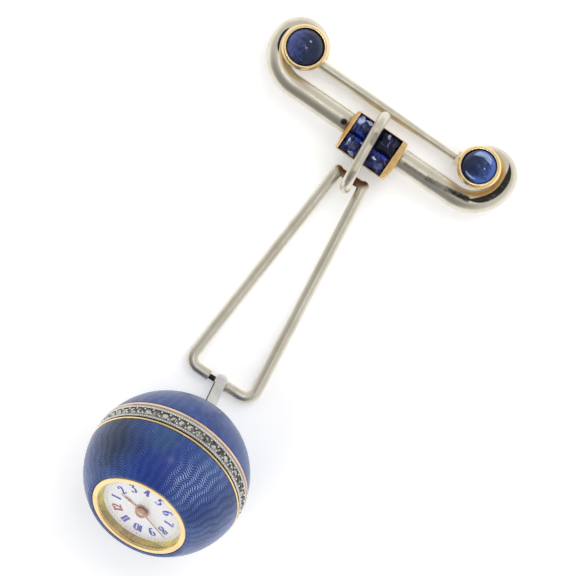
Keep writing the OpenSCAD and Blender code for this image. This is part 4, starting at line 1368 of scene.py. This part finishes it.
class WATCHPIN_OT_collets(PieceOperator):
    """Turns the two gold collets and the cabochons that they hold"""

    bl_idname = "watch_pin.collets"
    bl_label = "Collets and cabochons"

    def make(self, context):
        sizes, colours = sizes_and_colours(context, "pin_brooch")
        eye_x = -Vector(JOINTS["pin_hinge_turn"]["pos_m"]).x
        eye_y = sizes.curl_r + (sizes.curl_r - sizes.eye_curl_r) * math.sin(sizes.curl_change)
        sides = (
            ("left", -1, sizes.left_collet_x, sizes.left_collet_y, sizes.left_stone_r, 0.0),
            ("right", 1, sizes.right_collet_x, sizes.right_collet_y, sizes.right_stone_r, sizes.right_lean),
        )
        brooch = brooch_frame(sizes)
        for name, side, x, y, stone_r, lean in sides:
            base = sizes.tube_r + sizes.collet_gap + sizes.collet_base_r * math.sin(lean)
            lying = Matrix.Translation((side * x, y, base)) @ Matrix.Rotation(-side * lean, 4, "Y")
            cup = brooch @ lying
            rim = sizes.collet_h
            seat = rim - sizes.seat_depth
            inner = stone_r + sizes.collet_gap
            top_r = inner + sizes.collet_rim
            skirt_r = top_r + sizes.collet_skirt
            profile = [(0.0, 0.0), (sizes.collet_base_r, 0.0)]
            profile += [(skirt_r, rim * part) for part in COLLET_BELT]
            profile += [(top_r, rim), (inner, rim), (inner, seat), (0.0, seat)]
            outline = rounded(profile, sizes.collet_edge, closed=False)
            shape = Shape().lathe(outline, 96, cup, closed=False)
            foot, top = sizes.post_foot, base + seat / 2
            post = [(0.0, foot), (sizes.post_r, foot), (sizes.post_r, top), (0.0, top)]
            shape.lathe(post, 32, brooch @ Matrix.Translation((side * eye_x, eye_y, 0.0)), closed=False)
            shape.piece(f"gold_collet_{name}", "root", "gold", yellow_gold(context), 40, [f"collet_{name}"])
            self.stone(sizes, colours, name, cup, stone_r, seat)

    def stone(self, sizes, colours, name, cup, stone_r, seat):
        foot = seat + sizes.collet_gap
        girdle = foot + sizes.seat_depth / 2
        ball = (stone_r ** 2 + sizes.dome_h ** 2) / (2 * sizes.dome_h)
        dome = arc(ball, 0.0, math.asin(stone_r / ball), 20, (0.0, girdle + sizes.dome_h - ball))
        profile = [(0.0, foot), (stone_r, foot)] + list(reversed(dome))
        # The right stone's dark middle is a painted dark reflection, and each stone's side light is painted
        # light.
        if name == "left":
            rim, depth, side_light = colours.cabochon_left, colours.cabochon_left, colours.cabochon_haze
        else:
            rim, depth, side_light = colours.cabochon_right, colours.cabochon_depth, colours.cabochon_right
        lit_side, glints = CABOCHON_LIGHT[name]
        paint = cabochon_sapphire(
            f"{name}_cabochon_sapphire", cup, stone_r, rim, depth, side_light, math.radians(lit_side), glints,
            colours.cabochon_glint,
        )
        shape = Shape().lathe(profile, 96, cup, closed=False)
        shape.piece(f"cabochon_stone_{name}", "root", "sapphire", paint, 50, [f"cabochon_{name}"])


class WATCHPIN_OT_pin(PieceOperator):
    """Finishes the pin stem, its hinge and its catch"""

    bl_idname = "watch_pin.pin"
    bl_label = "Pin, hinge and catch"

    def make(self, context):
        for node in ("pin_stem", "pin_hinge", "pin_catch"):
            dress(node, platinum(context))


# Start, end, reach and strength of the darker streaks on the loop, in millimetres

LOOP_DARK_STREAKS = (((-0.12, 21.4), (0.02, 20.5), 0.42, 0.6), ((0.2, 16.9), (0.24, 16.1), 0.38, 0.5))


class WATCHPIN_OT_oval_loop(PieceOperator):
    """Bends the oval loop round the box"""

    bl_idname = "watch_pin.oval_loop"
    bl_label = "Oval loop"

    def make(self, context):
        sizes = numbers(context, "pin_chain")
        low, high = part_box("oval_loop")
        height = high[2] - low[2]
        half = sizes.loop_l / 2 - sizes.loop_end_r
        straight = half - sizes.loop_corner
        rise = height / 2 - sizes.loop_r - sizes.loop_corner
        stations = []
        for index, (along, up) in enumerate(((1, 1), (-1, 1), (-1, -1), (1, -1))):
            for at in steps(index * 90, index * 90 + 90, 20):
                turn = math.radians(at)
                y = along * straight + sizes.loop_corner * math.cos(turn)
                stations.append((y, up * rise + sizes.loop_corner * math.sin(turn), turn))
            if index in (0, 2):
                for y in steps(along * straight, -along * straight, 16)[1:-1]:
                    stations.append((y, up * (rise + sizes.loop_corner), math.radians(index * 90 + 90)))
        rings = []
        for y, z, turn in stations:
            front = max(0.0, math.sin(turn)) * sizes.loop_swell
            wire = sizes.loop_r + front + (sizes.loop_end_r - sizes.loop_r) * (abs(y) / half) ** 4
            z += front
            lean = max(0.0, math.sin(turn)) * sizes.loop_lean
            ring = []
            for side in circle(32):
                out = wire * math.cos(side)
                x = wire * math.sin(side) - lean
                ring.append((x, y + out * math.cos(turn), z + out * math.sin(turn)))
            rings.append(ring)
        shape = Shape().tube(rings, closed=True, matrix=loop_frame(sizes))
        loop_darkening = shaded(numbers(context, "pin_colours").platinum_worn, 0.4)

        def on_top(x, y):
            return Vector((x * MM, y * MM, high[2] + sizes.loop_swell))

        films = [
            (streak(on_top(*start), on_top(*end), reach * MM, strength), loop_darkening)
            for start, end, reach, strength in LOOP_DARK_STREAKS
        ]
        metal = platinum(context, "loop_platinum", films)
        shape.piece("platinum_loop", "root", "platinum", metal, 60, ["oval_loop"])


# Tarnish at the left end, the middle and the right end of the top crossbar: place and reach, in millimetres

TOP_TARNISH = (((0.5, 0.6, 0.2), 1.25), ((0.3, 0.0, 0.0), 1.1), ((-0.5, 0.6, 0.2), 1.35))
NOTCH_REACH = 0.75
NECK_EDGE = 0.08


class WATCHPIN_OT_link(PieceOperator):
    """Finishes the tapering wire link"""

    bl_idname = "watch_pin.link"
    bl_label = "Wire link"

    def make(self, context):
        sizes = numbers(context, "pin_chain")
        place = link_frame(sizes)
        half = sizes.link_top_w / 2
        ends = [place @ Vector((side * half, sizes.link_l, 0)) for side in (-1, 0, 1)]
        colours = numbers(context, "pin_colours")
        notch = place @ Vector((sizes.bail_shift - sizes.bail_w / 2 - sizes.neck_bare * 0.6, 0, 0))
        films = [
            (spot(end + Vector(away) * MM, reach * MM), colours.tarnish)
            for end, (away, reach) in zip(ends, TOP_TARNISH)
        ]
        films.append((spot(notch, NOTCH_REACH * MM), colours.oxide))
        metal = platinum(context, "link_platinum", films)
        self.wire(sizes, place).piece("wire_link", "root", "platinum", metal, 50, ["trapezoid_link"])

    def wire(self, sizes, place):
        """The link's bent wire with its necked stretch, and the thinner bar across its top."""
        half_top, half_bottom = sizes.link_top_w / 2, sizes.link_bottom_w / 2
        heading = math.pi / 2 + math.atan2(half_bottom - half_top, sizes.link_l)
        corner = sizes.link_corner
        run = half_bottom - corner * math.tan(heading / 2)
        side = [
            (run + corner * math.sin(at), corner * (1 - math.cos(at)), at, 1.0)
            for at in steps(0, heading, 16)
        ]
        foot = Vector(side[-1][:2])
        top = Vector((half_top, sizes.link_l))
        side += [(*foot.lerp(top, part), heading, 1.0) for part in steps(0, 1, 24)[1:]]
        way = (top - foot).normalized() * sizes.link_r
        side += [(*(top + way * math.sin(at)), heading, math.cos(at)) for at in steps(0, 1.5, 6)[1:]]
        neck_from = sizes.bail_shift - sizes.bail_w / 2 - sizes.neck_bare
        neck_to = sizes.bail_shift + sizes.bail_w / 2 + sizes.bail_gap
        thin = sizes.neck_r / sizes.link_r
        edge = NECK_EDGE * MM
        shoulder = ((0.0, thin), (0.0, 0.85), (edge * 0.2, 0.93), (edge, 1.0))
        bar = [(neck_from - out, 0.0, 0.0, thickness) for out, thickness in reversed(shoulder)]
        bar += [(neck_to + out, 0.0, 0.0, thickness) for out, thickness in shoulder]
        mirrored = [(-x, y, -at, thickness) for x, y, at, thickness in reversed(side)]
        rings = [self.ring(*station, sizes.link_r) for station in mirrored + bar + side]
        shape = Shape().tube(rings, matrix=place)
        across = [(side_x, sizes.link_l, 0.0, 1.0) for side_x in (-half_top, half_top)]
        return shape.tube([self.ring(*station, sizes.top_bar_r) for station in across], matrix=place)

    def ring(self, x, y, heading, thickness, wire_r):
        """A ring of the wire across its heading; thickness is a share of its radius."""
        points = []
        for turn in circle(32):
            out = thickness * wire_r * math.cos(turn)
            up = thickness * wire_r * math.sin(turn)
            points.append((x - out * math.sin(heading), y + out * math.cos(heading), up))
        return points


# The painted shade in the slit of the bail's side, from and to below the crossbar and its reach, in
# millimetres

SLIT_ENDS = (0.7, 3.4)
SLIT_REACH = 0.17
FOLD_TIP = 0.45
FLOOR_GAP = 0.01


class WATCHPIN_OT_bail(PieceOperator):
    """Finishes the flat bail of the watch"""

    bl_idname = "watch_pin.bail"
    bl_label = "Watch bail"

    def make(self, context):
        sizes, colours = sizes_and_colours(context, "pin_chain")
        place = bail_frame(sizes)
        fold = sizes.neck_r + sizes.bail_gap + sizes.bail_wall
        left = -sizes.bail_w / 2
        # A dark line of painted shade where the slit in the bail's side is.
        slit = streak(*(place @ Vector((left, fold, end * MM)) for end in SLIT_ENDS), SLIT_REACH * MM)
        overlay = (slit, colours.oxide)
        satin = handled_metal("bail_satin", colours.bail_metal, 0.82, 0.42, 0.3, (overlay,))
        made = softened("watch_bail", "satin_bail", "root", satin, sizes.bail_edge)
        back = place.inverted()
        for vertex in made.data.vertices:
            local = back @ vertex.co
            if local.z > -fold * 1.1 and local.z < 0:
                part = 1.0 + local.z / fold
                local.x *= FOLD_TIP + (1.0 - FOLD_TIP) * math.sqrt(max(0.0, 1.0 - (1.0 - part) ** 2))
                local.z *= 1.0 + sizes.bail_reach / fold
            vertex.co = place @ local
            vertex.co.z = max(vertex.co.z, FLOOR_GAP * MM)


class WATCHPIN_OT_shells(PieceOperator):
    """Turns the two enamelled shells of the ball"""

    bl_idname = "watch_pin.shells"
    bl_label = "Enamelled shells"

    def make(self, context):
        sizes, colours = sizes_and_colours(context, "pin_ball")
        enamel = guilloche_enamel("guilloche_enamel", sizes, colours)
        inner = sizes.ball_r - sizes.shell_wall
        edge = -(sizes.band_upper + 2 * sizes.seam + sizes.upper_line)
        outer_side = self.enamelled(sizes, edge, -sizes.ball_r, -1)
        shape = Shape().lathe(outer_side + ball_arc(inner, -inner, edge, 24), 160, ball_frame())
        shape.piece("enamel_shell_upper", "root", "blue_enamel", enamel, 50, ["upper_shell"])

        start = sizes.lower_line_start + sizes.lower_line + sizes.seam
        hole = sizes.bezel_r + sizes.bezel_play
        front_r = hole + sizes.shell_rim
        front = off_axis(sizes.ball_r, front_r)
        lip = front - sizes.shell_lip
        inner_side = [(hole, front), (hole, lip)] + ball_arc(inner, lip, start, 24)
        shape = Shape().lathe(self.enamelled(sizes, start, front, 1) + inner_side, 160, ball_frame())
        shape.piece("enamel_shell_lower", "root", "blue_enamel", enamel, 50, ["lower_shell"])

    def enamelled(self, sizes, edge, end, way):
        """A shell's outer side from its soft edge; way is 1 towards the dial and -1 away from it."""
        side = ball_arc(sizes.ball_r, edge, end, 48)
        side[0] = (side[0][0] - sizes.shell_edge * 0.4, edge)
        side.insert(1, ball_arc(sizes.ball_r, edge + way * sizes.shell_edge * 0.6, end, 1)[0])
        return side


LINE_EDGE = 0.06


class WATCHPIN_OT_gold_lines(PieceOperator):
    """Turns the two gold lines beside the diamond band"""

    bl_idname = "watch_pin.gold_lines"
    bl_label = "Gold lines"

    def make(self, context):
        sizes, colours = sizes_and_colours(context, "pin_ball")
        upper = -(sizes.band_upper + sizes.seam)
        lower = sizes.lower_line_start
        pink = handled_metal("pink_gold", colours.pink_gold, 0.75, 0.25, 0.2)
        inner = sizes.ball_r - sizes.band_wall
        outer = sizes.ball_r + sizes.line_rise
        for name, low, high, metal in (
            ("upper", upper - sizes.upper_line, upper, pink),
            ("lower", lower, lower + sizes.lower_line, yellow_gold(context)),
        ):
            profile = [(inner, low), (off_axis(outer, low), low)]
            profile += [(off_axis(outer, high), high), (inner, high)]
            shape = Shape().lathe(rounded(profile, LINE_EDGE * MM, 4), 200, ball_frame())
            shape.piece(f"gold_line_{name}", "root", "gold", metal, 50, [f"{name}_gold_line"])


# In millimetres: the wall beside the groove, the grains' distance from the row's middle, and a stone's
# table above, girdle below and culet below the surface

GROOVE_WALL = 0.1
GRAIN_ROWS = (-0.3, 0.3)
TABLE_RISE, GIRDLE_DROP, CULET_DROP = 0.02, 0.12, 0.3
TABLE_SHARE = 0.45
STONE_SIDES = 8
BAND_SEED = 7


class WATCHPIN_OT_diamond_band(PieceOperator):
    """Turns the band, rolls its milgrain and sets its diamonds"""

    bl_idname = "watch_pin.diamond_band"
    bl_label = "Diamond band"

    def make(self, context):
        sizes, colours = sizes_and_colours(context, "pin_ball")
        ball = ball_frame()
        low, high = -sizes.band_upper, sizes.band_lower
        groove_low, groove_high = low + sizes.band_edge, high - sizes.band_edge
        floor_r = sizes.ball_r - sizes.groove_depth
        inner = sizes.ball_r - sizes.band_wall
        sunk = sizes.bead_r * 0.95
        wall = GROOVE_WALL * MM

        def outer(height, depth=0.0):
            return (off_axis(sizes.ball_r, height) - depth, height)

        profile = [(inner, low), outer(low), outer(low + 0.4 * sizes.band_edge, sunk)]
        profile += [outer(groove_low - wall, sunk), outer(groove_low, sunk * 0.2)]
        profile += [(off_axis(floor_r, at), at) for at in steps(groove_low, groove_high, 4)]
        profile += [outer(groove_high, sunk * 0.2), outer(groove_high + wall, sunk)]
        profile += [outer(high - 0.4 * sizes.band_edge, sunk), outer(high), (inner, high)]
        shape = Shape().lathe(profile, 240, ball)
        metal = handled_metal("band_platinum", colours.band_metal, 0.85, 0.25, 0.1)
        # The band's body is a darker copy of its metal: painted shade between the bright beads.
        shaded_band_metal = handled_metal("band_ground", colours.band_ground, 0.7, 0.4, 0.2)
        shape.piece("platinum_band", "root", "platinum", shaded_band_metal, 30, ["diamond_band"])

        beads = Shape()
        one = bead(sizes.bead_r)
        for height in (low + 0.55 * sizes.band_edge, high - 0.55 * sizes.band_edge):
            radius = off_axis(sizes.ball_r, height) - sizes.bead_r
            for turn in circle(sizes.bead_count):
                beads.add(one.points, one.faces, ball @ turned(turn, radius, height))
        beads.piece("milgrain", "root", "platinum", metal, 80)

        self.stones(sizes, colours, ball, metal)

    def stones(self, sizes, colours, ball, metal):
        stones = Shape()
        grains = Shape()
        draw = random.Random(BAND_SEED)
        middle = (sizes.band_lower - sizes.band_upper) / 2
        surface = off_axis(sizes.ball_r, middle)
        one_grain = bead(sizes.grain_r, 4, 7)
        tilt = math.atan2(middle, surface)
        turn_step = 2 * math.pi / sizes.diamond_count
        for index in range(sizes.diamond_count):
            turn = index * turn_step
            seat = turned(turn, surface, middle) @ Matrix.Rotation(math.pi / 2 - tilt, 4, "Y")
            seat = seat @ Matrix.Rotation(draw.uniform(0, 0.78), 4, "Z")
            self.rose(stones, sizes.diamond_r * draw.uniform(0.9, 1.0), ball @ seat)
            for height in GRAIN_ROWS:
                at = middle + height * MM
                reach = off_axis(sizes.ball_r, at) - 0.7 * sizes.grain_r
                grains.add(one_grain.points, one_grain.faces, ball @ turned(turn + turn_step / 2, reach, at))
        diamond = old_cut_diamond("old_cut_diamond", colours.diamond)
        stones.piece("band_stones", "root", "diamond", diamond, 5, ["band_diamonds"])
        grains.piece("setting_grains", "root", "platinum", metal, 80)

    def rose(self, shape, radius, matrix):
        """A small old-cut stone: eight sides, a crown with star facets and a small table."""
        count = STONE_SIDES

        def ring(reach, start, height):
            return [
                (reach * math.cos(turn), reach * math.sin(turn), height * MM) for turn in circle(count, start)
            ]

        points = ring(TABLE_SHARE * radius, 0.0, TABLE_RISE) + ring(radius, math.pi / count, -GIRDLE_DROP)
        points.append((0.0, 0.0, -CULET_DROP * MM))
        faces = [tuple(range(count))]
        for side in range(count):
            beside = (side + 1) % count
            faces.append((side, count + side, beside))
            faces.append((beside, count + side, count + beside))
            faces.append((count + side, 2 * count, count + beside))
        shape.add(points, faces, matrix)


WALL_MARGIN = 0.02


class WATCHPIN_OT_bezel(PieceOperator):
    """Turns the gold bezel with its polished inner wall"""

    bl_idname = "watch_pin.bezel"
    bl_label = "Bezel"

    def make(self, context):
        sizes, colours = sizes_and_colours(context, "pin_ball")
        dial = numbers(context, "pin_dial")
        front = sizes.bezel_front
        inner = sizes.bezel_r - sizes.bezel_rim
        back = front - sizes.bezel_depth
        ledge = front - dial.crystal_set - dial.crystal_edge - sizes.seam
        foot = front - dial.dial_recess + sizes.seam
        rim = [(sizes.bezel_r, back), (sizes.bezel_r, front), (inner, front), (inner, ledge)]
        profile = rounded(rim, sizes.bezel_edge, 6, closed=False) + [(dial.ledge_r, ledge)]
        profile += [(dial.wall_foot_r, foot), (inner, foot - sizes.seam), (inner, back)]
        shape = Shape().lathe(profile, 160, ball_frame())
        made = shape.piece("gold_bezel", "bezel", "gold", yellow_gold(context), 40, ["bezel"])
        wall = handled_metal("polished_wall", colours.gold_wall, colours.wall_shade, 0.12, 0.3)
        made.data.materials.append(wall)
        place = ball_frame().inverted()
        for face in made.data.polygons:
            local = place @ face.center
            if math.hypot(local.x, local.y) < inner + WALL_MARGIN * MM and local.z < front - sizes.bezel_edge:
                face.material_index = 1


DIAL_EDGE = 0.04
LARGE_DOT = 1.5
SMALL_DOT = 0.9


class WATCHPIN_OT_dial(PieceOperator):
    """Fires the white dial, its numerals and its minute track"""

    bl_idname = "watch_pin.dial"
    bl_label = "Dial"

    def make(self, context):
        sizes, colours = sizes_and_colours(context, "pin_dial")
        ball = numbers(context, "pin_ball")
        front = ball.bezel_front - sizes.dial_recess
        outer = ball.bezel_r - ball.bezel_rim - ball.bezel_play
        hole = sizes.post_r + ball.bezel_play
        profile = [(hole, front - sizes.dial_t), (outer, front - sizes.dial_t), (outer, front), (hole, front)]
        shape = Shape().lathe(rounded(profile, DIAL_EDGE * MM, 3), 128, ball_frame())
        enamel = dial_enamel("dial_enamel", colours.dial_white)
        shape.piece("enamel_dial", "root", "white_enamel", enamel, 40, ["dial"])
        blue = fired_paint("numeral_blue", colours.numeral_blue)
        red = fired_paint("numeral_red", colours.numeral_red)
        face = ball_frame() @ Matrix.Translation((0, 0, front))
        hours = Shape()
        for hour in range(1, 12):
            self.numeral(hours, sizes, face, hour)
        hours.piece("hours_blue", "root", "blue_enamel", blue, 40)
        twelve = Shape()
        self.numeral(twelve, sizes, face, 12)
        twelve.piece("hour_twelve_red", "root", "blue_enamel", red, 40)
        self.track(context, sizes, face)

    def numeral(self, shape, sizes, face, hour):
        """One number, its top outwards."""
        turn = sizes.twelve - math.radians(30 * hour)
        digits = [int(digit) for digit in str(hour)]
        widths = [GLYPH_WIDTH[digit] for digit in digits]
        total = sum(widths) + DIGIT_GAP * (len(digits) - 1)
        place = face @ Matrix.Rotation(turn - math.pi / 2, 4, "Z")
        place = place @ Matrix.Translation((0, sizes.numeral_ring - sizes.numeral_h / 2, 0))
        across = -total / 2
        for digit, width in zip(digits, widths):
            for stroke in GLYPHS[digit]:
                line = [(x + across, y) for x, y in smooth_line(stroke)]
                points = [(x * sizes.numeral_h, y * sizes.numeral_h) for x, y in line]
                ribbon(shape, points, sizes.numeral_h, sizes.numeral_t, place)
            across += width + DIGIT_GAP

    def track(self, context, sizes, face):
        dots = Shape()
        for minute in range(60):
            large = minute % 5 == 0
            radius = sizes.track_dot * (LARGE_DOT if large else SMALL_DOT)
            turn = sizes.twelve - math.radians(6 * minute)
            centre = face @ Matrix.Rotation(turn, 4, "Z") @ Matrix.Translation((sizes.track_r, 0, 0))
            profile = [(0, sizes.numeral_t * 2), (radius * 0.7, sizes.numeral_t * 1.6), (radius, 0), (0, 0)]
            dots.lathe(profile, 8, centre, closed=False)
        dots.piece("minute_track", "root", "gold", yellow_gold(context), 80)


# Strokes of the numerals, with the height of a numeral as 1

DIGIT_GAP = 0.06
PEN_THIN = 0.065
PEN_THICK = 0.255
GLYPH_WIDTH = {0: 0.52, 1: 0.26, 2: 0.5, 3: 0.5, 4: 0.54, 5: 0.5, 6: 0.52, 7: 0.5, 8: 0.52, 9: 0.52}
SIX = [(0.45, 0.88), (0.33, 0.99), (0.17, 0.85), (0.06, 0.45), (0.12, 0.1), (0.28, 0.0), (0.45, 0.13),
       (0.46, 0.4), (0.3, 0.55), (0.14, 0.46), (0.07, 0.3)]
GLYPHS = {
    0: [[(0.26, 1.0), (0.1, 0.85), (0.06, 0.5), (0.1, 0.15), (0.26, 0.0), (0.42, 0.15), (0.46, 0.5),
         (0.42, 0.85), (0.26, 1.0)]],
    1: [[(0.15, 0.0), (0.15, 1.0)], [(0.15, 0.97), (0.02, 0.84)], [(0.02, 0.02), (0.27, 0.02)]],
    2: [[(0.08, 0.74), (0.12, 0.93), (0.27, 1.0), (0.42, 0.88), (0.43, 0.7), (0.3, 0.42), (0.12, 0.18),
         (0.06, 0.05)],
        [(0.05, 0.04), (0.2, 0.1), (0.36, 0.03), (0.47, 0.14)]],
    3: [[(0.06, 0.9), (0.1, 0.98), (0.44, 0.98)], [(0.44, 0.97), (0.22, 0.6)],
        [(0.22, 0.6), (0.38, 0.56), (0.46, 0.36), (0.4, 0.08), (0.2, 0.0), (0.06, 0.1), (0.08, 0.2)]],
    4: [[(0.38, 0.0), (0.38, 1.0)], [(0.38, 0.98), (0.03, 0.3)], [(0.03, 0.3), (0.54, 0.3)]],
    5: [[(0.44, 0.97), (0.12, 0.97)], [(0.12, 0.97), (0.1, 0.52)],
        [(0.1, 0.52), (0.26, 0.6), (0.44, 0.48), (0.46, 0.25), (0.34, 0.02), (0.14, 0.0), (0.06, 0.12)]],
    6: [SIX],
    7: [[(0.05, 0.84), (0.07, 0.97), (0.45, 0.97)], [(0.45, 0.97), (0.26, 0.5), (0.2, 0.0)]],
    8: [[(0.26, 0.54), (0.1, 0.66), (0.1, 0.88), (0.26, 1.0), (0.42, 0.88), (0.42, 0.66), (0.26, 0.54),
         (0.08, 0.38), (0.07, 0.12), (0.26, 0.0), (0.45, 0.12), (0.44, 0.38), (0.26, 0.54)]],
    9: [[(0.52 - x, 1.0 - y) for x, y in SIX]],
}


def smooth_line(points, count=6):
    """A smooth run through a stroke's points."""
    if len(points) < 3:
        return points
    line = []
    padded = [points[0], *points, points[-1]]
    for first, start, end, last in zip(padded, padded[1:], padded[2:], padded[3:]):
        for part in steps(0, 1, count)[:-1]:
            line.append(tuple(
                0.5 * (2 * b + (c - a) * part + (2 * a - 5 * b + 4 * c - d) * part ** 2
                       + (3 * b - a - 3 * c + d) * part ** 3)
                for a, b, c, d in zip(first, start, end, last)
            ))
    return line + [points[-1]]


def ribbon(shape, points, height, thickness, matrix):
    """A pen stroke, thick where it runs up and down and thin where it runs across."""
    rings = []
    for index, (x, y) in enumerate(points):
        before = points[max(index - 1, 0)]
        after = points[min(index + 1, len(points) - 1)]
        way = Vector((after[0] - before[0], after[1] - before[1]))
        way = way.normalized() if way.length else Vector((0, 1))
        half = height * (PEN_THIN + (PEN_THICK - PEN_THIN) * abs(way.y) ** 2) / 2
        side = Vector((-way.y, way.x)) * half
        left, right = (x + side.x, y + side.y), (x - side.x, y - side.y)
        rings.append([(*left, thickness), (*right, thickness), (*right, 0.0), (*left, 0.0)])
    shape.tube(rings, matrix=matrix)


# Place and spread of the hour hand's two lobes, as shares of its length

HOUR_LOBES = ((0.62, 0.06), (0.77, 0.045))

# In millimetres: a hub's rim and its rounding, and how far the post's cap stays below the knob

HUB_RIM = 0.16
HUB_EDGE = 0.035
CAP_DROP = 0.03


class WATCHPIN_OT_hands(PieceOperator):
    """Cuts the rose gold hands and turns their knob"""

    bl_idname = "watch_pin.hands"
    bl_label = "Hands"

    def make(self, context):
        sizes = numbers(context, "pin_dial")
        ball = numbers(context, "pin_ball")
        rose = handled_metal("rose_gold", numbers(context, "pin_colours").rose_gold, 0.8, 0.22, 0.15)
        front = ball.bezel_front - sizes.dial_recess
        hole = sizes.post_r + ball.bezel_play
        hour = ball_frame() @ turned(sizes.hour_angle, 0.0, front + sizes.hour_lift)
        shape = Shape()
        self.hub(shape, hour, hole, sizes.hour_hub_r, sizes.hand_t, 0.6)
        reach = []
        for part in steps(0.0, 1.0, 40):
            half = sizes.hand_w / 2 * (1 - 0.65 * part)
            for bulge, (place, spread) in zip((sizes.lobe_r, sizes.small_lobe_r), HOUR_LOBES):
                half += bulge * math.exp(-((part - place) / spread) ** 2)
            reach.append((part * sizes.hour_l, half))
        self.arm(shape, hour, [point for point in reach if point[0] > sizes.hour_hub_r * 0.9], sizes.hand_t)
        shape.piece("rose_hour_hand", "hour_hand", "rose_gold", rose, 40, ["hour_hand"])

        minute = ball_frame() @ turned(sizes.minute_angle, 0.0, front + sizes.minute_lift)
        shape = Shape()
        self.hub(shape, minute, hole, sizes.knob_r, sizes.hand_t + sizes.knob_h, 0.75)
        reach = [(part * sizes.minute_l, sizes.hand_w / 2 * (1 - 0.5 * part)) for part in steps(0.1, 1.0, 10)]
        self.arm(shape, minute, [point for point in reach if point[0] > sizes.knob_r * 0.9], sizes.hand_t)
        shape.piece("rose_minute_hand", "minute_hand", "rose_gold", rose, 40, ["minute_hand"])
        knob_top = sizes.hand_t + sizes.knob_h
        top, shoulder = knob_top - CAP_DROP * MM, knob_top - 2 * CAP_DROP * MM
        profile = [(0.0, top), (sizes.cap_r * 0.7, top), (sizes.cap_r, shoulder)]
        profile += [(sizes.cap_r, knob_top / 2), (0.0, knob_top / 2)]
        cap = Shape().lathe(profile, 32, minute, closed=False)
        cap.piece("centre_cap", "minute_hand", "rose_gold", platinum(context), 40)

    def hub(self, shape, matrix, hole, radius, height, dish):
        """A turned disc with a rounded rim and a dished face; dish is the share of its depth."""
        rim = HUB_RIM * MM
        face = height * (1 - 0.35 * dish)
        profile = [(hole, 0.0), (radius, 0.0), (radius, height), (radius - rim, height)]
        profile += [(radius - 1.3 * rim, face), (hole, face)]
        shape.lathe(rounded(profile, HUB_EDGE * MM, 3), 64, matrix)

    def arm(self, shape, matrix, stations, thickness):
        """A flat arm with a low ridge along its middle."""
        rings = []
        for along, half in stations:
            edge = thickness * 0.35
            rings.append([
                (along, -half, 0.0), (along, half, 0.0), (along, half, edge), (along, 0.0, thickness),
                (along, -half, edge),
            ])
        shape.tube(rings, matrix=matrix)


class WATCHPIN_OT_crystal(PieceOperator):
    """Turns the domed watch glass"""

    bl_idname = "watch_pin.crystal"
    bl_label = "Watch glass"

    def make(self, context):
        sizes = numbers(context, "pin_dial")
        ball = numbers(context, "pin_ball")
        radius = ball.bezel_r - ball.bezel_rim - ball.seam
        top = ball.bezel_front - sizes.crystal_set + sizes.crystal_rise
        dome = (radius ** 2 + sizes.crystal_rise ** 2) / (2 * sizes.crystal_rise)
        edge = top - sizes.crystal_rise
        cap = arc(dome, math.asin(radius / dome), 0.0, 24, (0.0, top - dome))
        profile = [(0.0, edge - sizes.crystal_edge), (radius, edge - sizes.crystal_edge)] + cap
        shape = Shape().lathe(profile, 128, ball_frame(), closed=False)
        shape.piece("domed_glass", "bezel", "watch_glass", watch_glass("watch_glass"), 40, ["crystal"])


class WATCHPIN_OT_movement(PieceOperator):
    """Gives the movement inside the ball its brushed brass"""

    bl_idname = "watch_pin.movement"
    bl_label = "Movement"

    def make(self, context):
        colours = numbers(context, "pin_colours")
        brass = handled_metal("brushed_brass", colours.gold_wall, colours.gold_deep, 0.35, 0.3)
        dress("movement", brass)


OPERATORS = (
    WATCHPIN_OT_stage, WATCHPIN_OT_bar, WATCHPIN_OT_box_setting, WATCHPIN_OT_collets, WATCHPIN_OT_pin,
    WATCHPIN_OT_oval_loop, WATCHPIN_OT_link, WATCHPIN_OT_bail, WATCHPIN_OT_shells, WATCHPIN_OT_gold_lines,
    WATCHPIN_OT_diamond_band, WATCHPIN_OT_bezel, WATCHPIN_OT_dial, WATCHPIN_OT_hands, WATCHPIN_OT_crystal,
    WATCHPIN_OT_movement,
)


class WATCHPIN_PT_pieces(bpy.types.Panel):
    """Lists the pieces of the watch pin in the sidebar."""

    bl_idname = "WATCHPIN_PT_pieces"
    bl_label = "Chatelaine watch pin"
    bl_space_type = "VIEW_3D"
    bl_region_type = "UI"
    bl_category = "Watch pin"

    def draw(self, context):
        for operator in OPERATORS:
            self.layout.operator(operator.bl_idname)
        for group in GROUPS:
            box = self.layout.box()
            box.label(text=group.replace("_", " "))
            for name in GROUPS[group].__annotations__:
                box.prop(numbers(context, group), name)


CLASSES = (*GROUPS.values(), *OPERATORS, WATCHPIN_PT_pieces)


def register():
    """Registers the classes and hangs the sizes on the scene."""
    for cls in CLASSES:
        bpy.utils.register_class(cls)
    for name, group in GROUPS.items():
        setattr(bpy.types.Scene, name, PointerProperty(type=group))


def unregister():
    """Takes the sizes and the classes away again."""
    for name in GROUPS:
        delattr(bpy.types.Scene, name)
    for cls in reversed(CLASSES):
        bpy.utils.unregister_class(cls)


def main():
    """Makes every piece in order."""
    register()
    for operator in OPERATORS:
        group, name = operator.bl_idname.split(".")
        getattr(getattr(bpy.ops, group), name)()


if __name__ == "__main__":
    main()
